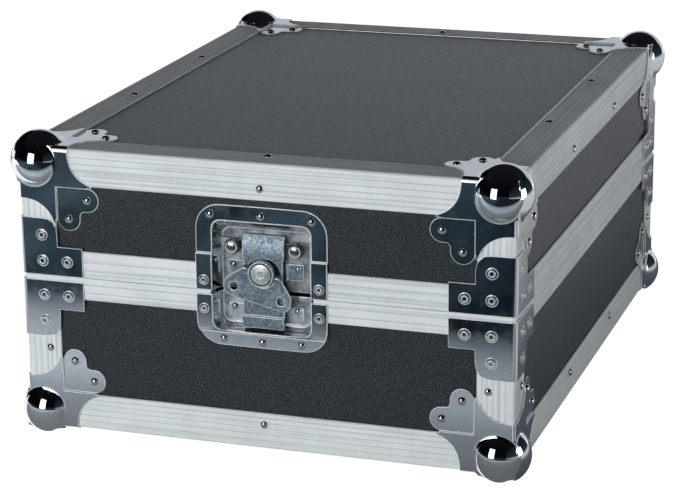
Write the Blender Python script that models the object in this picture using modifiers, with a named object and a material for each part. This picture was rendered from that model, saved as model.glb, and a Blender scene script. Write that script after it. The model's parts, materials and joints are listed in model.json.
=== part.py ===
"""A flight case for a DJ mixer: laminate panels in grooved aluminium edges, with a hinged lid.

The frame is metres, +Z up, the front towards -Y. The origin is on the floor, below the middle of the
case, so the case stands on its lower ball corners. Run it in Blender, or with
blender --background --python part.py
"""
import math

import bmesh
import bpy
from mathutils import Matrix, Vector

# Driving dimensions of the case, over the aluminium edges
CASE_WIDTH = 0.404
CASE_DEPTH = 0.530
BASE_HEIGHT = 0.128

# Clearance between pieces that seat on each other
SEAT_GAP = 0.0003

# Panels and aluminium sections
PANEL_THICKNESS = 0.007
SKIN = 0.0015
EDGE_LEG = 0.030
INNER_LEG = 0.026
EDGE_ROUNDING = 0.003
MITRE_TRIM = 0.0024
LIP_CHAMFER = 0.0007
GROOVE_WIDTH = 0.0009
GROOVE_DEPTH = 0.0004
EDGE_GROOVES = (0.007, 0.012, 0.017, 0.0215, 0.0255)

# Closing sections round the parting line
LID_STRIP = 0.0218
BASE_STRIP = 0.0186
LID_STRIP_GROOVES = (0.0034, 0.0058, 0.0132)
BASE_STRIP_GROOVES = (0.0055, 0.0123)
STRIP_INNER_DROP = 0.003
RIM_GROOVE_DEPTH = 0.0055
TONGUE_DROP = 0.0042
TONGUE_FROM = 0.0022
TONGUE_TO = 0.0066
TONGUE_TAPER = 0.0004

# Pressed steel plates: ball corners, braces and latch
PLATE = 0.0012
BALL_RADIUS = 0.0233
BALL_INSET = 0.0128
CORNER_REACH = 0.0425
CORNER_SWEEP_RADIUS = 0.025
CORNER_SWEEP_RISE = 0.005
EAR_CENTRE_FAR = 0.0573
EAR_CENTRE_NEAR = 0.0412
EAR_RADIUS = 0.0103
EAR_NOTCH = 0.0520
BRACE_ARM = 0.052
BRACE_ARM_HEIGHT = 0.024
BRACE_WIDTH = 0.031
BRACE_HEIGHT = 0.047
BRACE_ROUNDING = 0.012
BASE_BRACE_DROP = 0.004

# Recessed latch: sizes across, heights from the parting line, depths from the case's front
DISH_WIDTH = 0.108
DISH_TOP = 0.070
DISH_TO_EDGE = 0.005
DISH_BOTTOM = 0.0445
DISH_CORNER = 0.020
PAN_WIDTH = 0.081
PAN_TOP = 0.057
PAN_BOTTOM = 0.0315
PAN_CORNER = 0.007
PAN_DEPTH = 0.012
PAN_SIDE_SLOPE = 0.0045
PAN_TOP_SLOPE = 0.008
PAN_BOTTOM_SLOPE = 0.0032
PAN_CLEARANCE = 0.0005
LID_JOGGLE = 0.0293
BASE_JOGGLE = 0.0330
LID_DISH_EDGE = 0.00015
BASE_DISH_DROP = 0.003
LATCH_SHEET = 0.0015

SPINDLE_HEIGHT = 0.0165
SPINDLE_HEAD_RADIUS = 0.0105
SPINDLE_HEAD_FRONT = -0.0024
SPINDLE_HEAD_BACK = 0.0026
SPINDLE_NECK_RADIUS = 0.004
SPINDLE_TAIL_RADIUS = 0.0027
TAIL_FLANGE_RADIUS = 0.005
CAM_RADIUS = 0.0118
CAM_BEHIND_HEAD = 0.0012
DRAW_HEIGHT = 0.0036
DRAW_DEPTH = 0.0032

CROSS_PIN_RADIUS = 0.0012
CROSS_PIN_DEPTH = 0.0012
PIN_HALF_LENGTH = 0.0155
HEAD_BAY_GAP = 0.0008
KNUCKLE_RADIUS = 0.0022
RUNNING_GAP = 0.0003
BUTTERFLY_TURN = math.radians(14.0)
BUTTERFLY_SHEET = 0.0016
BUTTERFLY_BACK = 0.0026
WING_SPAN = 0.0283
WING_DROP = 0.0254
WING_SHOULDER = 0.0165
WING_TIP_HIGH = 0.0127
WING_TIP_LOW = 0.0175
WING_FOOT = 0.0205
EYE_RADIUS = 0.0034
EYE_ACROSS = 0.020
EYE_DROP = 0.0173

HOOK_FRONT = 0.0042
HOOK_HALF_WIDTH = 0.017
HOOK_WAIST = 0.0160
HOOK_TOP = 0.0458
HOOK_FOLD = 0.039
HOOK_FOLD_REACH = 0.003
HOOK_SIDE_FROM = 0.0315
HOOK_SIDE_REACH = 0.0024
HOOK_BOX_FRONT = 0.0015
HOOK_BOX_TOP = -0.0192
HOOK_BOX_BOTTOM = -0.0284
HOOK_BOX_WALL_REACH = 0.0048
CATCH_STEP = 0.0007
CATCH_GAP = 0.0003
KEEPER_HALF_WIDTH = 0.014
KEEPER_HEIGHT = 0.005
FOOT_REACH = 0.031
KEEPER_FOOT_HEIGHT = 0.011
BRIDGE_HALF_WIDTH = 0.018
BRIDGE_HALF_HEIGHT = 0.0065
BRIDGE_SHEET = 0.001
BRIDGE_RISE = 0.0024
YOKE_PLAY = 0.00065
YOKE_SIDE_PLAY = 0.0005

SPRING_ACROSS = 0.026
SPRING_HEIGHT = 0.035
SPRING_POST_RADIUS = 0.0036
SPRING_HEAD_RADIUS = 0.0049
SPRING_HEAD_DEPTH = 0.0034
SPRING_HEAD_THICKNESS = 0.001
SPRING_WIRE = 0.0009
SPRING_MEAN_RADIUS = 0.0046
SPRING_TURNS = 3
SPRING_POINTS = 8
SPRING_LEG_GAP = 0.0006
SPRING_BACK = 0.0108

# Rear hinges
HINGE_TO_BRACE = 0.010
HINGE_WIDTH = 0.060
HINGE_SHEET = 0.0015
HINGE_BARREL_RADIUS = 0.0035
HINGE_PIN_RADIUS = 0.0019
HINGE_LEAF_DROP = 0.0165
HINGE_KNUCKLES = 5
STOP_REACH = 0.0055
STOP_BELOW = 0.0007
STOP_ABOVE = 0.0009

# Foam lining
FOAM_WALL = 0.025
BASE_FOAM_FLOOR = 0.020
LID_FOAM_ROOF = 0.015
FOAM_BELOW_RIM = 0.003

ROUND_STEPS = 24
FINE = 1e-5

# Worked out from the driving dimensions
BALL_PROUD = BALL_RADIUS - BALL_INSET
LEFT = -CASE_WIDTH / 2
RIGHT = CASE_WIDTH / 2
FRONT = -CASE_DEPTH / 2
REAR = CASE_DEPTH / 2
BOTTOM = BALL_PROUD
PARTING = BOTTOM + BASE_HEIGHT
LID_HEIGHT = DISH_TOP + DISH_TO_EDGE + EDGE_LEG
TOP = PARTING + LID_HEIGHT
HINGE_MIDDLE = CASE_WIDTH / 2 - BRACE_ARM - HINGE_TO_BRACE - HINGE_WIDTH / 2
PANEL_FACE = SKIN + SEAT_GAP
PANEL_BACK = PANEL_FACE + PANEL_THICKNESS
INNER_FACE = PANEL_BACK + SEAT_GAP
SECTION_DEPTH = INNER_FACE + SKIN
PANEL_EDGE = SECTION_DEPTH + SEAT_GAP
PLATE_OUT = SEAT_GAP + PLATE
EAR_LINE = EDGE_LEG + SEAT_GAP
STEP_LINE = EAR_LINE + PLATE
EAR_TOP = PANEL_FACE - SEAT_GAP - PLATE
EAR_BACK = PANEL_FACE - SEAT_GAP
CAM_OFFSET = DRAW_HEIGHT / 2
HOOK_BACK = HOOK_FRONT + LATCH_SHEET
PAN_OUTSIDE = PAN_WIDTH / 2 + PLATE
CUT_OUT = PAN_OUTSIDE + PAN_CLEARANCE

collections = {}
materials = {}


def clear_scene():
    """Remove every object that the file opened with."""
    for item in list(bpy.data.objects):
        bpy.data.objects.remove(item, do_unlink=True)


def make_collections():
    """Give the case and its cutters a collection each."""
    for name in ("mixer_flight_case", "cutters"):
        collection = bpy.data.collections.new(name)
        bpy.context.scene.collection.children.link(collection)
        collections[name] = collection


def make_material(name, colour, roughness, metallic):
    """One plain Principled material."""
    material = bpy.data.materials.new(name)
    material.use_nodes = True
    shader = material.node_tree.nodes["Principled BSDF"]
    shader.inputs["Base Color"].default_value = (*colour, 1.0)
    shader.inputs["Roughness"].default_value = roughness
    shader.inputs["Metallic"].default_value = metallic
    materials[name] = material


def make_materials():
    """The finishes that the photograph shows."""
    make_material("black_laminate", (0.012, 0.013, 0.015), 0.6, 0.0)
    make_material("anodised_aluminium", (0.72, 0.74, 0.75), 0.35, 1.0)
    make_material("chromed_steel", (0.55, 0.57, 0.60), 0.12, 1.0)
    make_material("zinc_plated_steel", (0.42, 0.47, 0.52), 0.3, 1.0)
    make_material("grey_foam", (0.05, 0.05, 0.055), 0.95, 0.0)


def finish(item, material=None):
    """Put a piece in the case's collection with its material, or a cutter with the cutters."""
    if material is None:
        collections["cutters"].objects.link(item)
        item.hide_render = True
        item.display_type = "WIRE"
        return item
    collections["mixer_flight_case"].objects.link(item)
    item.data.materials.clear()
    item.data.materials.append(materials[material])
    return item


def clean_mesh(mesh):
    """Weld a mesh's doubles, point its faces outwards, and shade its round sides smooth."""
    work = bmesh.new()
    work.from_mesh(mesh)
    bmesh.ops.remove_doubles(work, verts=work.verts, dist=FINE)
    bmesh.ops.recalc_face_normals(work, faces=work.faces)
    work.to_mesh(mesh)
    work.free()
    mesh.shade_smooth()
    mesh.set_sharp_from_angle(angle=math.radians(35))
    return mesh


def evaluated_mesh(item, name):
    """The mesh of an object with its modifiers, in world space."""
    bpy.context.view_layer.update()
    graph = bpy.context.evaluated_depsgraph_get()
    mesh = bpy.data.meshes.new_from_object(item.evaluated_get(graph), depsgraph=graph)
    mesh.transform(item.matrix_world)
    mesh.name = name
    return mesh


def box(name, low, high, material=None):
    """A box between two corners."""
    work = bmesh.new()
    centre = (Vector(low) + Vector(high)) / 2
    size = Vector(high) - Vector(low)
    placing = Matrix.Translation(centre) @ Matrix.Diagonal((*size, 1.0))
    bmesh.ops.create_cube(work, size=1.0, matrix=placing)
    mesh = bpy.data.meshes.new(name)
    work.to_mesh(mesh)
    work.free()
    return finish(bpy.data.objects.new(name, mesh), material)


def extruded(name, loops, start, end, frame, material=None):
    """A flat outline, with any holes, pushed from start to end along the frame's third axis."""
    curve = bpy.data.curves.new(name + "_outline", "CURVE")
    curve.dimensions = "2D"
    curve.fill_mode = "BOTH"
    curve.extrude = (end - start) / 2
    for loop in loops:
        spline = curve.splines.new("POLY")
        spline.points.add(len(loop) - 1)
        for point, (across, along) in zip(spline.points, loop):
            point.co = (across, along, 0.0, 1.0)
        spline.use_cyclic_u = True
    drawn = bpy.data.objects.new(name + "_outline", curve)
    bpy.context.scene.collection.objects.link(drawn)
    mesh = evaluated_mesh(drawn, name)
    bpy.data.objects.remove(drawn, do_unlink=True)
    bpy.data.curves.remove(curve)
    mesh.transform(frame @ Matrix.Translation((0.0, 0.0, (start + end) / 2)))
    return finish(bpy.data.objects.new(name, clean_mesh(mesh)), material)


def cylinder(name, radius, start, end, frame, steps=ROUND_STEPS, material=None):
    """A round bar from start to end along the frame's third axis."""
    work = bmesh.new()
    placing = frame @ Matrix.Translation((0.0, 0.0, (start + end) / 2))
    bmesh.ops.create_cone(work, cap_ends=True, segments=steps, radius1=radius, radius2=radius,
                          depth=end - start, matrix=placing)
    mesh = bpy.data.meshes.new(name)
    work.to_mesh(mesh)
    work.free()
    return finish(bpy.data.objects.new(name, clean_mesh(mesh)), material)


def ball(name, radius, centre, steps):
    """A round cutter or joined ball."""
    work = bmesh.new()
    bmesh.ops.create_uvsphere(work, u_segments=steps, v_segments=steps // 2, radius=radius,
                              matrix=Matrix.Translation(centre))
    mesh = bpy.data.meshes.new(name)
    work.to_mesh(mesh)
    work.free()
    return finish(bpy.data.objects.new(name, clean_mesh(mesh)))


def turned(name, profile, frame, material=None, steps=ROUND_STEPS):
    """A turned piece: (radius, height) points from the axis, out and back to it, spun round."""
    mesh = bpy.data.meshes.new(name)
    points = [(radius, 0.0, height) for radius, height in profile]
    edges = [(i, i + 1) for i in range(len(points) - 1)]
    mesh.from_pydata(points, edges, [])
    blank = bpy.data.objects.new(name, mesh)
    bpy.context.scene.collection.objects.link(blank)
    screw = blank.modifiers.new("spin", "SCREW")
    screw.steps = steps
    screw.render_steps = steps
    screw.use_merge_vertices = True
    screw.merge_threshold = FINE
    spun = evaluated_mesh(blank, name)
    bpy.data.objects.remove(blank, do_unlink=True)
    spun.transform(frame)
    return finish(bpy.data.objects.new(name, clean_mesh(spun)), material)


def combine(body, operation, tools):
    """Join, cut or intersect a piece with the tools, by exact Booleans."""
    for tool in tools:
        boolean = body.modifiers.new(tool.name, "BOOLEAN")
        boolean.operation = operation
        boolean.solver = "EXACT"
        boolean.object = tool
    return body


def frame_of(origin, across, along, out):
    """A placing matrix from an origin and the directions of the outline's axes."""
    columns = [Vector(across), Vector(along), Vector(out), Vector(origin)]
    matrix = Matrix.Identity(4)
    for column, vector in enumerate(columns):
        for row in range(3):
            matrix[row][column] = vector[row]
    return matrix


def arc(centre, radius, start, end, steps):
    """Points along an arc, angles in degrees."""
    points = []
    for i in range(steps + 1):
        angle = math.radians(start + (end - start) * i / steps)
        points.append((centre[0] + radius * math.cos(angle), centre[1] + radius * math.sin(angle)))
    return points


def rounded_outline(half, low, high, low_radius, high_radius, steps=6):
    """A rectangle that is 2 x half wide, with rounded or square corners below and above."""
    points = []
    corners = (
        (half, low, low_radius, 270),
        (half, high, high_radius, 0),
        (-half, high, high_radius, 90),
        (-half, low, low_radius, 180),
    )
    for across, along, radius, start in corners:
        if radius == 0:
            points.append((across, along))
            continue
        centre_across = across - math.copysign(radius, across)
        centre_along = along + radius if along == low else along - radius
        points.extend(arc((centre_across, centre_along), radius, start, start + 90, steps))
    return points


def grooves(places):
    """The V grooves along an outside face: (distance along it, depth) points."""
    points = []
    for place in places:
        points.append((place - GROOVE_WIDTH / 2, 0.0))
        points.append((place, GROOVE_DEPTH))
        points.append((place + GROOVE_WIDTH / 2, 0.0))
    return points


def edge_section():
    """The edge extrusion: an outer angle, a slanted web and an inner angle, with two panel slots.

    Both coordinates are distances from the case's two outside faces.
    """
    web = SKIN / math.sqrt(2)
    first_leg = grooves(EDGE_GROOVES)
    first_leg.append((EDGE_LEG - LIP_CHAMFER, 0.0))
    first_leg.append((EDGE_LEG, LIP_CHAMFER))
    first_leg.append((EDGE_LEG, SKIN))
    first_leg.append((SKIN + web, SKIN))
    first_leg.append((INNER_FACE + web, INNER_FACE))
    first_leg.append((INNER_LEG, INNER_FACE))
    first_leg.append((INNER_LEG, SECTION_DEPTH))
    second_leg = [(along, across) for across, along in reversed(first_leg)]
    corner = arc((EDGE_ROUNDING, EDGE_ROUNDING), EDGE_ROUNDING, 180, 270, 3)
    return first_leg + [(SECTION_DEPTH, SECTION_DEPTH)] + second_leg + corner


def lid_rim_section():
    """The lid's closing section, over the parting line: (depth, height) points."""
    outside = [(depth, height) for height, depth in grooves(LID_STRIP_GROOVES)]
    section = [(0.0, 0.0)] + outside
    section += [(0.0, LID_STRIP - LIP_CHAMFER), (LIP_CHAMFER, LID_STRIP), (SKIN, LID_STRIP)]
    section += [(SKIN, SKIN), (INNER_FACE, SKIN)]
    section += [(INNER_FACE, LID_STRIP - STRIP_INNER_DROP)]
    section += [(SECTION_DEPTH, LID_STRIP - STRIP_INNER_DROP), (SECTION_DEPTH, 0.0)]
    section += [(TONGUE_TO, 0.0), (TONGUE_TO - TONGUE_TAPER, -TONGUE_DROP)]
    section += [(TONGUE_FROM + TONGUE_TAPER, -TONGUE_DROP), (TONGUE_FROM, 0.0)]
    return section


def base_rim_section():
    """The base's closing section, with the groove that the lid's tongue drops into."""
    top = -SEAT_GAP
    floor = -RIM_GROOVE_DEPTH
    outside = [(depth, -height) for height, depth in grooves(BASE_STRIP_GROOVES)]
    section = [(0.0, top)] + outside
    section += [(0.0, LIP_CHAMFER - BASE_STRIP), (LIP_CHAMFER, -BASE_STRIP), (SKIN, -BASE_STRIP)]
    section += [(SKIN, floor - SKIN), (INNER_FACE, floor - SKIN)]
    section += [(INNER_FACE, STRIP_INNER_DROP - BASE_STRIP)]
    section += [(SECTION_DEPTH, STRIP_INNER_DROP - BASE_STRIP), (SECTION_DEPTH, top)]
    section += [(INNER_FACE, top), (INNER_FACE, floor), (SKIN, floor), (SKIN, top)]
    return section


def swept(name, section, stations, material):
    """A section pushed from station to station; each station is (origin, inwards, upwards)."""
    work = bmesh.new()
    origin, inwards, upwards = stations[0]
    ring = []
    for depth, height in section:
        ring.append(work.verts.new(Vector(origin) + Vector(inwards) * depth + Vector(upwards) * height))
    edges = [work.edges.new((ring[i - 1], ring[i])) for i in range(len(ring))]
    for origin, inwards, upwards in stations[1:]:
        pushed = bmesh.ops.extrude_edge_only(work, edges=edges)["geom"]
        edges = [item for item in pushed if isinstance(item, bmesh.types.BMEdge)]
        verts = [item for item in pushed if isinstance(item, bmesh.types.BMVert)]
        ring = match_order(verts, ring)
        for vert, (depth, height) in zip(ring, section):
            vert.co = Vector(origin) + Vector(inwards) * depth + Vector(upwards) * height
    open_edges = [edge for edge in work.edges if edge.is_boundary]
    bmesh.ops.holes_fill(work, edges=open_edges, sides=0)
    mesh = bpy.data.meshes.new(name)
    work.to_mesh(mesh)
    work.free()
    return finish(bpy.data.objects.new(name, clean_mesh(mesh)), material)


def match_order(verts, ring):
    """Put a pushed face's vertices in the order of the ring that it came from."""
    matched = []
    for old in ring:
        matched.append(min(verts, key=lambda vert: (vert.co - old.co).length))
    return matched


def corner_trims(name):
    """Cutters that break the sharp upright arrises of the mitred frames at the four corners."""
    far = 3 * MITRE_TRIM
    outline = [(-far, -far), (MITRE_TRIM + far, -far), (-far, MITRE_TRIM + far)]
    cutters = []
    for side, across in ((LEFT, 1), (RIGHT, -1)):
        for depth, inwards in ((FRONT, 1), (REAR, -1)):
            frame = frame_of((side, depth, 0.0), (across, 0, 0), (0, inwards, 0), (0, 0, 1))
            cutters.append(extruded(f"{name}_trim_{len(cutters)}", [outline], 0.0, 2 * TOP, frame))
    return cutters


def make_edges():
    """The grooved aluminium along the bottom of the base and the top of the lid, mitred in plan."""
    trims = corner_trims("edge")
    front_left_trim, rear_left_trim, front_right_trim, rear_right_trim = trims
    section = edge_section()
    gap = SEAT_GAP / 2
    for half, height, upwards in (("base", BOTTOM, (0, 0, 1)), ("lid", TOP, (0, 0, -1))):
        front_left = ((LEFT + gap, FRONT, height), (1, 1, 0), upwards)
        front_right = ((RIGHT - gap, FRONT, height), (-1, 1, 0), upwards)
        rear_left = ((LEFT + gap, REAR, height), (1, -1, 0), upwards)
        rear_right = ((RIGHT - gap, REAR, height), (-1, -1, 0), upwards)
        left_front = ((LEFT, FRONT + gap, height), (1, 1, 0), upwards)
        left_rear = ((LEFT, REAR - gap, height), (1, -1, 0), upwards)
        right_front = ((RIGHT, FRONT + gap, height), (-1, 1, 0), upwards)
        right_rear = ((RIGHT, REAR - gap, height), (-1, -1, 0), upwards)
        front = swept(half + "_front_edge", section, (front_left, front_right), "anodised_aluminium")
        rear = swept(half + "_rear_edge", section, (rear_left, rear_right), "anodised_aluminium")
        left = swept(half + "_left_edge", section, (left_front, left_rear), "anodised_aluminium")
        right = swept(half + "_right_edge", section, (right_front, right_rear), "anodised_aluminium")
        combine(front, "DIFFERENCE", [front_left_trim, front_right_trim])
        combine(rear, "DIFFERENCE", [rear_left_trim, rear_right_trim])
        combine(left, "DIFFERENCE", [front_left_trim, rear_left_trim])
        combine(right, "DIFFERENCE", [front_right_trim, rear_right_trim])


def make_posts():
    """The grooved aluminium up the eight corners, between the edges and the closing strips."""
    section = edge_section()
    spans = (
        ("base", BOTTOM + EDGE_LEG + SEAT_GAP, PARTING - BASE_STRIP - SEAT_GAP),
        ("lid", PARTING + LID_STRIP + SEAT_GAP, TOP - EDGE_LEG - SEAT_GAP),
    )
    for half, low, high in spans:
        for depth_name, depth, inwards in (("front", FRONT, 1), ("rear", REAR, -1)):
            for side_name, side, across in (("left", LEFT, 1), ("right", RIGHT, -1)):
                stations = [((side, depth, height), (across, 0, 0), (0, inwards, 0)) for height in (low, high)]
                swept(f"{half}_post_{depth_name}_{side_name}", section, stations, "anodised_aluminium")


def make_rims():
    """The two closing frames, open at the front where the latch's dish passes through."""
    trims = corner_trims("rim")
    for name, section in (("base_rim_frame", base_rim_section()), ("lid_rim_frame", lid_rim_section())):
        up = (0, 0, 1)
        stations = (
            ((CUT_OUT, FRONT, PARTING), (0, 1, 0), up),
            ((RIGHT, FRONT, PARTING), (-1, 1, 0), up),
            ((RIGHT, REAR, PARTING), (-1, -1, 0), up),
            ((LEFT, REAR, PARTING), (1, -1, 0), up),
            ((LEFT, FRONT, PARTING), (1, 1, 0), up),
            ((-CUT_OUT, FRONT, PARTING), (0, 1, 0), up),
        )
        rim = swept(name, section, stations, "anodised_aluminium")
        combine(rim, "DIFFERENCE", trims)


def make_panels():
    """The laminate panels, each edge held in a slot of the aluminium."""
    left = LEFT + PANEL_EDGE
    right = RIGHT - PANEL_EDGE
    front = FRONT + PANEL_EDGE
    rear = REAR - PANEL_EDGE
    base_low = BOTTOM + PANEL_EDGE
    base_high = PARTING - RIM_GROOVE_DEPTH - SKIN - SEAT_GAP
    lid_low = PARTING + SKIN + SEAT_GAP
    lid_high = TOP - PANEL_EDGE
    laminate = "black_laminate"
    box("base_bottom_panel", (left, front, BOTTOM + PANEL_FACE), (right, rear, BOTTOM + PANEL_BACK), laminate)
    box("lid_top_panel", (left, front, TOP - PANEL_BACK), (right, rear, TOP - PANEL_FACE), laminate)
    for half, low, high in (("base", base_low, base_high), ("lid", lid_low, lid_high)):
        box(half + "_rear_panel", (left, REAR - PANEL_BACK, low), (right, REAR - PANEL_FACE, high), laminate)
        box(half + "_left_panel", (LEFT + PANEL_FACE, front, low), (LEFT + PANEL_BACK, rear, high), laminate)
        box(half + "_right_panel", (RIGHT - PANEL_BACK, front, low), (RIGHT - PANEL_FACE, rear, high), laminate)
    across = frame_of((0, FRONT, PARTING), (1, 0, 0), (0, 0, 1), (0, 1, 0))
    base_notch = -(PAN_BOTTOM + PLATE + PAN_CLEARANCE)
    lid_notch = PAN_TOP + PLATE + PAN_CLEARANCE
    base_front = notched_outline(left, right, base_high - PARTING, base_low - PARTING, base_notch)
    lid_front = notched_outline(left, right, lid_low - PARTING, lid_high - PARTING, lid_notch)
    extruded("base_front_panel", [base_front], PANEL_FACE, PANEL_BACK, across, laminate)
    extruded("lid_front_panel", [lid_front], PANEL_FACE, PANEL_BACK, across, laminate)


def notched_outline(left, right, mouth, far, notch):
    """A front panel, with the dish's cut-out let in from the edge at the parting line."""
    return [
        (left, mouth), (left, far), (right, far), (right, mouth),
        (CUT_OUT, mouth), (CUT_OUT, notch), (-CUT_OUT, notch), (-CUT_OUT, mouth),
    ]


def flange_outline():
    """A ball corner's flange on one face, over the two edge legs and up to the step."""
    margin = 2 * PLATE_OUT
    centre = (CORNER_REACH + CORNER_SWEEP_RADIUS, CORNER_SWEEP_RISE)
    rise = EAR_LINE - CORNER_SWEEP_RISE
    span = math.degrees(math.asin(min(1.0, rise / (CORNER_SWEEP_RADIUS * 1.04))))
    sweep = arc(centre, CORNER_SWEEP_RADIUS, 180, 180 - span, 4)
    inside = EAR_LINE + PLATE / 2
    half = [(CORNER_REACH, -margin)] + sweep + [(sweep[-1][0], inside)]
    mirrored = [(along, across) for across, along in reversed(half)]
    return [(-margin, -margin)] + half + [(inside, inside)] + mirrored


def ear_outline():
    """The two-lobed ear of a ball corner, on the panel."""
    lobe = arc((EAR_CENTRE_FAR, EAR_CENTRE_NEAR), EAR_RADIUS, -84, 110, 5)
    half = [(lobe[0][0], EAR_LINE)] + lobe
    mirrored = [(along, across) for across, along in reversed(half)]
    return [(EAR_LINE, EAR_LINE)] + half + [(EAR_NOTCH, EAR_NOTCH)] + mirrored


def rounded_block(name, outside, rounding, steps):
    """The corner of the case as a block, grown outwards, with its edges rounded."""
    reach = 3 * CORNER_REACH
    block = box(name, (-outside, -outside, -outside), (reach, reach, reach))
    bevel = block.modifiers.new("rounding", "BEVEL")
    bevel.width = rounding
    bevel.segments = steps
    return block


def face_frames():
    """The three faces at a corner of the case: outline axes, then the direction inwards."""
    origin = (0, 0, 0)
    return {
        "front": frame_of(origin, (1, 0, 0), (0, 0, 1), (0, 1, 0)),
        "side": frame_of(origin, (0, 1, 0), (0, 0, 1), (1, 0, 0)),
        "level": frame_of(origin, (1, 0, 0), (0, 1, 0), (0, 0, 1)),
    }


def corner_prototype():
    """One chromed ball corner, at the corner where all three coordinates start from 0."""
    frames = face_frames()
    deep = EDGE_ROUNDING + PLATE_OUT
    outline = flange_outline()
    body = extruded("corner_front_flange", [outline], -PLATE_OUT, deep, frames["front"])
    side = extruded("corner_side_flange", [outline], -PLATE_OUT, deep, frames["side"])
    level = extruded("corner_level_flange", [outline], -PLATE_OUT, deep, frames["level"])
    centre = (BALL_INSET, BALL_INSET, BALL_INSET)
    combine(body, "UNION", [side, level])
    combine(body, "INTERSECT", [rounded_block("corner_outside", PLATE_OUT, EDGE_ROUNDING + PLATE_OUT, 3)])
    combine(body, "UNION", [ball("corner_ball", BALL_RADIUS, centre, 20)])
    combine(body, "DIFFERENCE", [rounded_block("corner_inside", SEAT_GAP, EDGE_ROUNDING + SEAT_GAP, 3)])
    combine(body, "DIFFERENCE", [ball("corner_hollow", BALL_RADIUS - PLATE, centre, 12)])
    for face, frame in frames.items():
        ear = extruded("corner_ear_" + face, [ear_outline()], -PLATE_OUT, EAR_BACK, frame)
        far = 3 * CORNER_REACH
        relief_outline = [(STEP_LINE, STEP_LINE), (far, STEP_LINE), (far, far), (STEP_LINE, far)]
        relief = extruded("corner_relief_" + face, [relief_outline], -2 * PLATE_OUT, EAR_TOP, frame)
        combine(ear, "DIFFERENCE", [relief])
        combine(body, "UNION", [ear])
    return clean_mesh(evaluated_mesh(body, "ball_corner"))


def brace_outline():
    """One face of a corner brace: an arm along the closing strip and a leg up the post."""
    margin = 2 * PLATE_OUT
    centre = (BRACE_WIDTH - BRACE_ROUNDING, BRACE_HEIGHT - BRACE_ROUNDING)
    outline = [(-margin, 0.0), (BRACE_ARM, 0.0), (BRACE_ARM, BRACE_ARM_HEIGHT)]
    outline += [(BRACE_WIDTH, BRACE_ARM_HEIGHT)]
    outline += arc(centre, BRACE_ROUNDING, 0, 90, 4)
    return outline + [(-margin, BRACE_HEIGHT)]


def brace_prototype():
    """One chromed corner brace, bent round the upright edge where x and y start from 0."""
    frames = face_frames()
    deep = EDGE_ROUNDING + PLATE_OUT
    body = extruded("brace_front", [brace_outline()], -PLATE_OUT, deep, frames["front"])
    side = extruded("brace_side", [brace_outline()], -PLATE_OUT, deep, frames["side"])
    combine(body, "UNION", [side])
    level = frames["level"]
    far = 2 * BRACE_ARM
    for name, outside, operation in (("outside", PLATE_OUT, "INTERSECT"), ("inside", SEAT_GAP, "DIFFERENCE")):
        rounding = EDGE_ROUNDING + outside
        bend = arc((EDGE_ROUNDING, EDGE_ROUNDING), rounding, 180, 270, 3)
        block = [(-outside, far)] + bend + [(far, -outside), (far, far)]
        tool = extruded("brace_" + name, [block], -BRACE_HEIGHT, 2 * BRACE_HEIGHT, level)
        combine(body, operation, [tool])
    return clean_mesh(evaluated_mesh(body, "brace"))


def place_at_corners(prototype, name, heights, material):
    """Copy a corner piece to the four upright edges of each half, each copy with its own mesh."""
    for half, height, up in heights:
        for depth_name, depth, inwards in (("front", FRONT, 1), ("rear", REAR, -1)):
            for side_name, side, across in (("left", LEFT, 1), ("right", RIGHT, -1)):
                mesh = prototype.copy()
                placing = frame_of((side, depth, height), (across, 0, 0), (0, inwards, 0), (0, 0, up))
                mesh.transform(placing)
                if across * inwards * up < 0:
                    mesh.flip_normals()
                item = bpy.data.objects.new(f"{name}_{half}_{depth_name}_{side_name}", mesh)
                finish(item, material)


def latch_frame(across=0.0, height=0.0):
    """Outline axes across and up, then into the case, from the parting line on the front."""
    return frame_of((across, FRONT, PARTING + height), (1, 0, 0), (0, 0, 1), (0, 1, 0))


def pan_loops(low, high, grow, low_radius, high_radius):
    """The pan's outline at its mouth and at its floor; a straight end has no radius and no slope."""
    low_slope = PAN_BOTTOM_SLOPE if low_radius else 0.0
    high_slope = PAN_TOP_SLOPE if high_radius else 0.0
    mouth = rounded_outline(PAN_WIDTH / 2 + grow, low, high, low_radius, high_radius, 4)
    floor = rounded_outline(PAN_WIDTH / 2 + grow - PAN_SIDE_SLOPE, low + low_slope, high - high_slope,
                            low_radius, high_radius, 4)
    return mouth, floor


def tapered(name, loops, start, end, overrun):
    """A pan's solid from its mouth loop to its floor loop, with a straight run in front of the mouth."""
    mouth, floor = loops
    frame = latch_frame()
    work = bmesh.new()
    ring = [work.verts.new(frame @ Vector((across, along, start - overrun))) for across, along in mouth]
    edges = [work.edges.new((ring[i - 1], ring[i])) for i in range(len(ring))]
    for loop, depth in ((mouth, start), (floor, end)):
        pushed = bmesh.ops.extrude_edge_only(work, edges=edges)["geom"]
        edges = [item for item in pushed if isinstance(item, bmesh.types.BMEdge)]
        verts = [item for item in pushed if isinstance(item, bmesh.types.BMVert)]
        ring = match_order(verts, ring)
        for vert, (across, along) in zip(ring, loop):
            vert.co = frame @ Vector((across, along, depth))
    bmesh.ops.holes_fill(work, edges=[edge for edge in work.edges if edge.is_boundary], sides=0)
    mesh = bpy.data.meshes.new(name)
    work.to_mesh(mesh)
    work.free()
    return finish(bpy.data.objects.new(name, clean_mesh(mesh)))


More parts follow.
